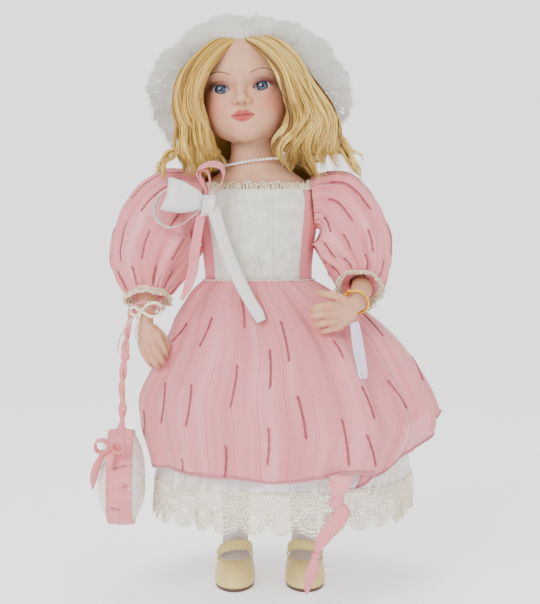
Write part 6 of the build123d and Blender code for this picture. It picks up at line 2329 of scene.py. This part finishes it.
def make_bag_strap(pink):
    """Two twisted strips from the pouch to the wrist, with a knot, and a loop round the wrist."""
    heap = Heap()
    wrist = np.array((-94.8, -30.8, 216.9))
    arm = unit(np.array((-93.0, -13, 248)) - np.array((-95.0, -33, 213)))
    side = unit(np.cross(arm, (0.0, 1.0, 0.0)))
    lift = np.cross(side, arm)
    b = full_turn(80)
    loop = wrist + 10.6 * circle(b, side, lift)
    heap.add(tube(loop, 1.35 + 0.2 * np.sin(9 * b), 10, closed=True, up=arm, flat=0.6), 0.5)
    line = smooth_path([(-106.2, -31.0, 216.0), (-109.5, -35.5, 198), (-110.8, -39.5, 180),
                        (-112.6, -42.5, 160), (-112.0, -44, 142), (-113.2, -45, 124)], 140)
    t = np.linspace(0, 1, 140)
    across, up = frames_along(line, np.array((0.0, 1.0, 0.0)))
    for phase in (0, math.pi):
        turn = TAU * 3.1 * t + phase
        spread = 1.5 * (0.7 + 0.5 * np.sin(TAU * 2 * t + 1) ** 2)
        path = line + spread[:, None] * circle(turn, across, up)
        heap.add(tube(path, 1.55 + 0.3 * np.sin(17 * t + phase), 10, up=np.array((0.1, 1.0, 0.05)),
                      flat=0.8), 0.5)
    heap.add(blob((-110.6, -39.0, 181), (3.7, 3.0, 3.6), np.eye(3), 12), 0.5)
    heap.add(blob((-113.2, -45, 125.5), (4.4, 3.6, 3.0), np.eye(3), 12), 0.5)
    strap = heap.piece("bag_strap_pink", pink, None, replaces=("bag_strap",), slot="dress_pink")
    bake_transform(strap)


def make_bag():
    pink = organza_material("bag_cloth_pink", 1.0)
    outline = pouch(BAG_COLUMNS)
    make_bag_band(outline, pink)
    make_bag_sides(outline)
    make_bag_stitching(outline)
    make_bag_bow(pink)
    make_bag_strap(pink)


# ---------------------------------------------------------------- under the dress, and small CAD pieces
def make_torso():
    muslin = cloth_material("body_muslin", (0.80, 0.77, 0.71), (0.70, 0.66, 0.58), 0.4, 0.3)
    rows, columns = 90, 140
    a = full_turn(columns)
    sections = [(180.5, -2, 1, 22, 12), (182, -2, 1, 33, 23), (188, -3, 1, 39.5, 29.5),
                (200, -4, 1, 41.5, 31.5), (237, -9, 1, 37.4, 26.6), (270, -10, 2, 38.6, 25.6),
                (294, -10, 2, 34.6, 19.8), (304, -10, 2, 26, 15.4), (305.5, -10, 2, 18, 9)]
    grid = ovals(sections, rows, a)
    seam = 0.6 * np.exp(-((np.sin(a) / 0.04) ** 2))
    grid = grid - (seam[None, :, None] - 0.35 * ripple(grid, 0.09)[..., None]) * radial(a)
    faces = capped_faces(rows, columns)
    uv = np.stack((np.broadcast_to(a * 35, grid.shape[:2]), grid[..., 2]), -1).reshape(-1, 2) * MM
    piece = make_piece("stuffed_body", grid.reshape(-1, 3), faces, muslin, "torso", uvs=uv,
                       replaces=("cloth_torso",), slot="muslin")


def dress_cad_nodes():
    """Materials for the CAD pieces that stay as they are: each has real grain, weave or wear."""
    card = Nodes("pate_card", (0.62, 0.52, 0.38), 0.9)
    card.bump(card.noise(card.coordinates(), 700.0), 0.3, 0.0003)
    plaster = Nodes("plaster", (0.82, 0.80, 0.76), 0.95)
    plaster.bump(plaster.noise(plaster.coordinates(), 500.0), 0.4, 0.0004)
    wire = Nodes("arm_wire_steel", (0.55, 0.54, 0.52), 0.4)
    wire.set(Metallic=1.0)
    wire.bump(wire.noise(wire.coordinates(), 1200.0), 0.2, 0.0002)
    tape = cloth_material("tie_tape", (0.80, 0.77, 0.70), (0.70, 0.66, 0.58), 0.5, 0.3)
    hook = cloth_material("hook_tape", (0.84, 0.80, 0.78), (0.74, 0.70, 0.68), 0.6, 0.4)
    bisque = bisque_material("bisque_shins")
    plans = {
        "crown_pate": card.material, "eye_plaster": plaster.material, "back_closure": hook,
        "arm_wire_right": wire.material, "arm_wire_left": wire.material,
        "arm_tie_right": tape, "arm_tie_left": tape, "leg_tie_right": tape, "leg_tie_left": tape,
        "shin_right": bisque, "shin_left": bisque,
    }
    for name, material in plans.items():
        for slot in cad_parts[name].material_slots:
            slot.material = material


# ---------------------------------------------------------------- build everything
make_camera()
make_stage()
make_head()
make_eyes()
make_painted_hair()
make_hair()
make_hat()
make_skirt()
make_petticoat()
EDGING = LoopedEdging()
make_bodice(EDGING)
make_sleeve("right", 1.0, EDGING)
make_sleeve("left", 4.3, EDGING)
make_hands()
make_upper_arms()
make_bangle()
make_lavender_loop()
make_wrist_bow()
make_necklace()
make_legs()
make_bows()
make_sash()
make_bag()
make_torso()
dress_cad_nodes()
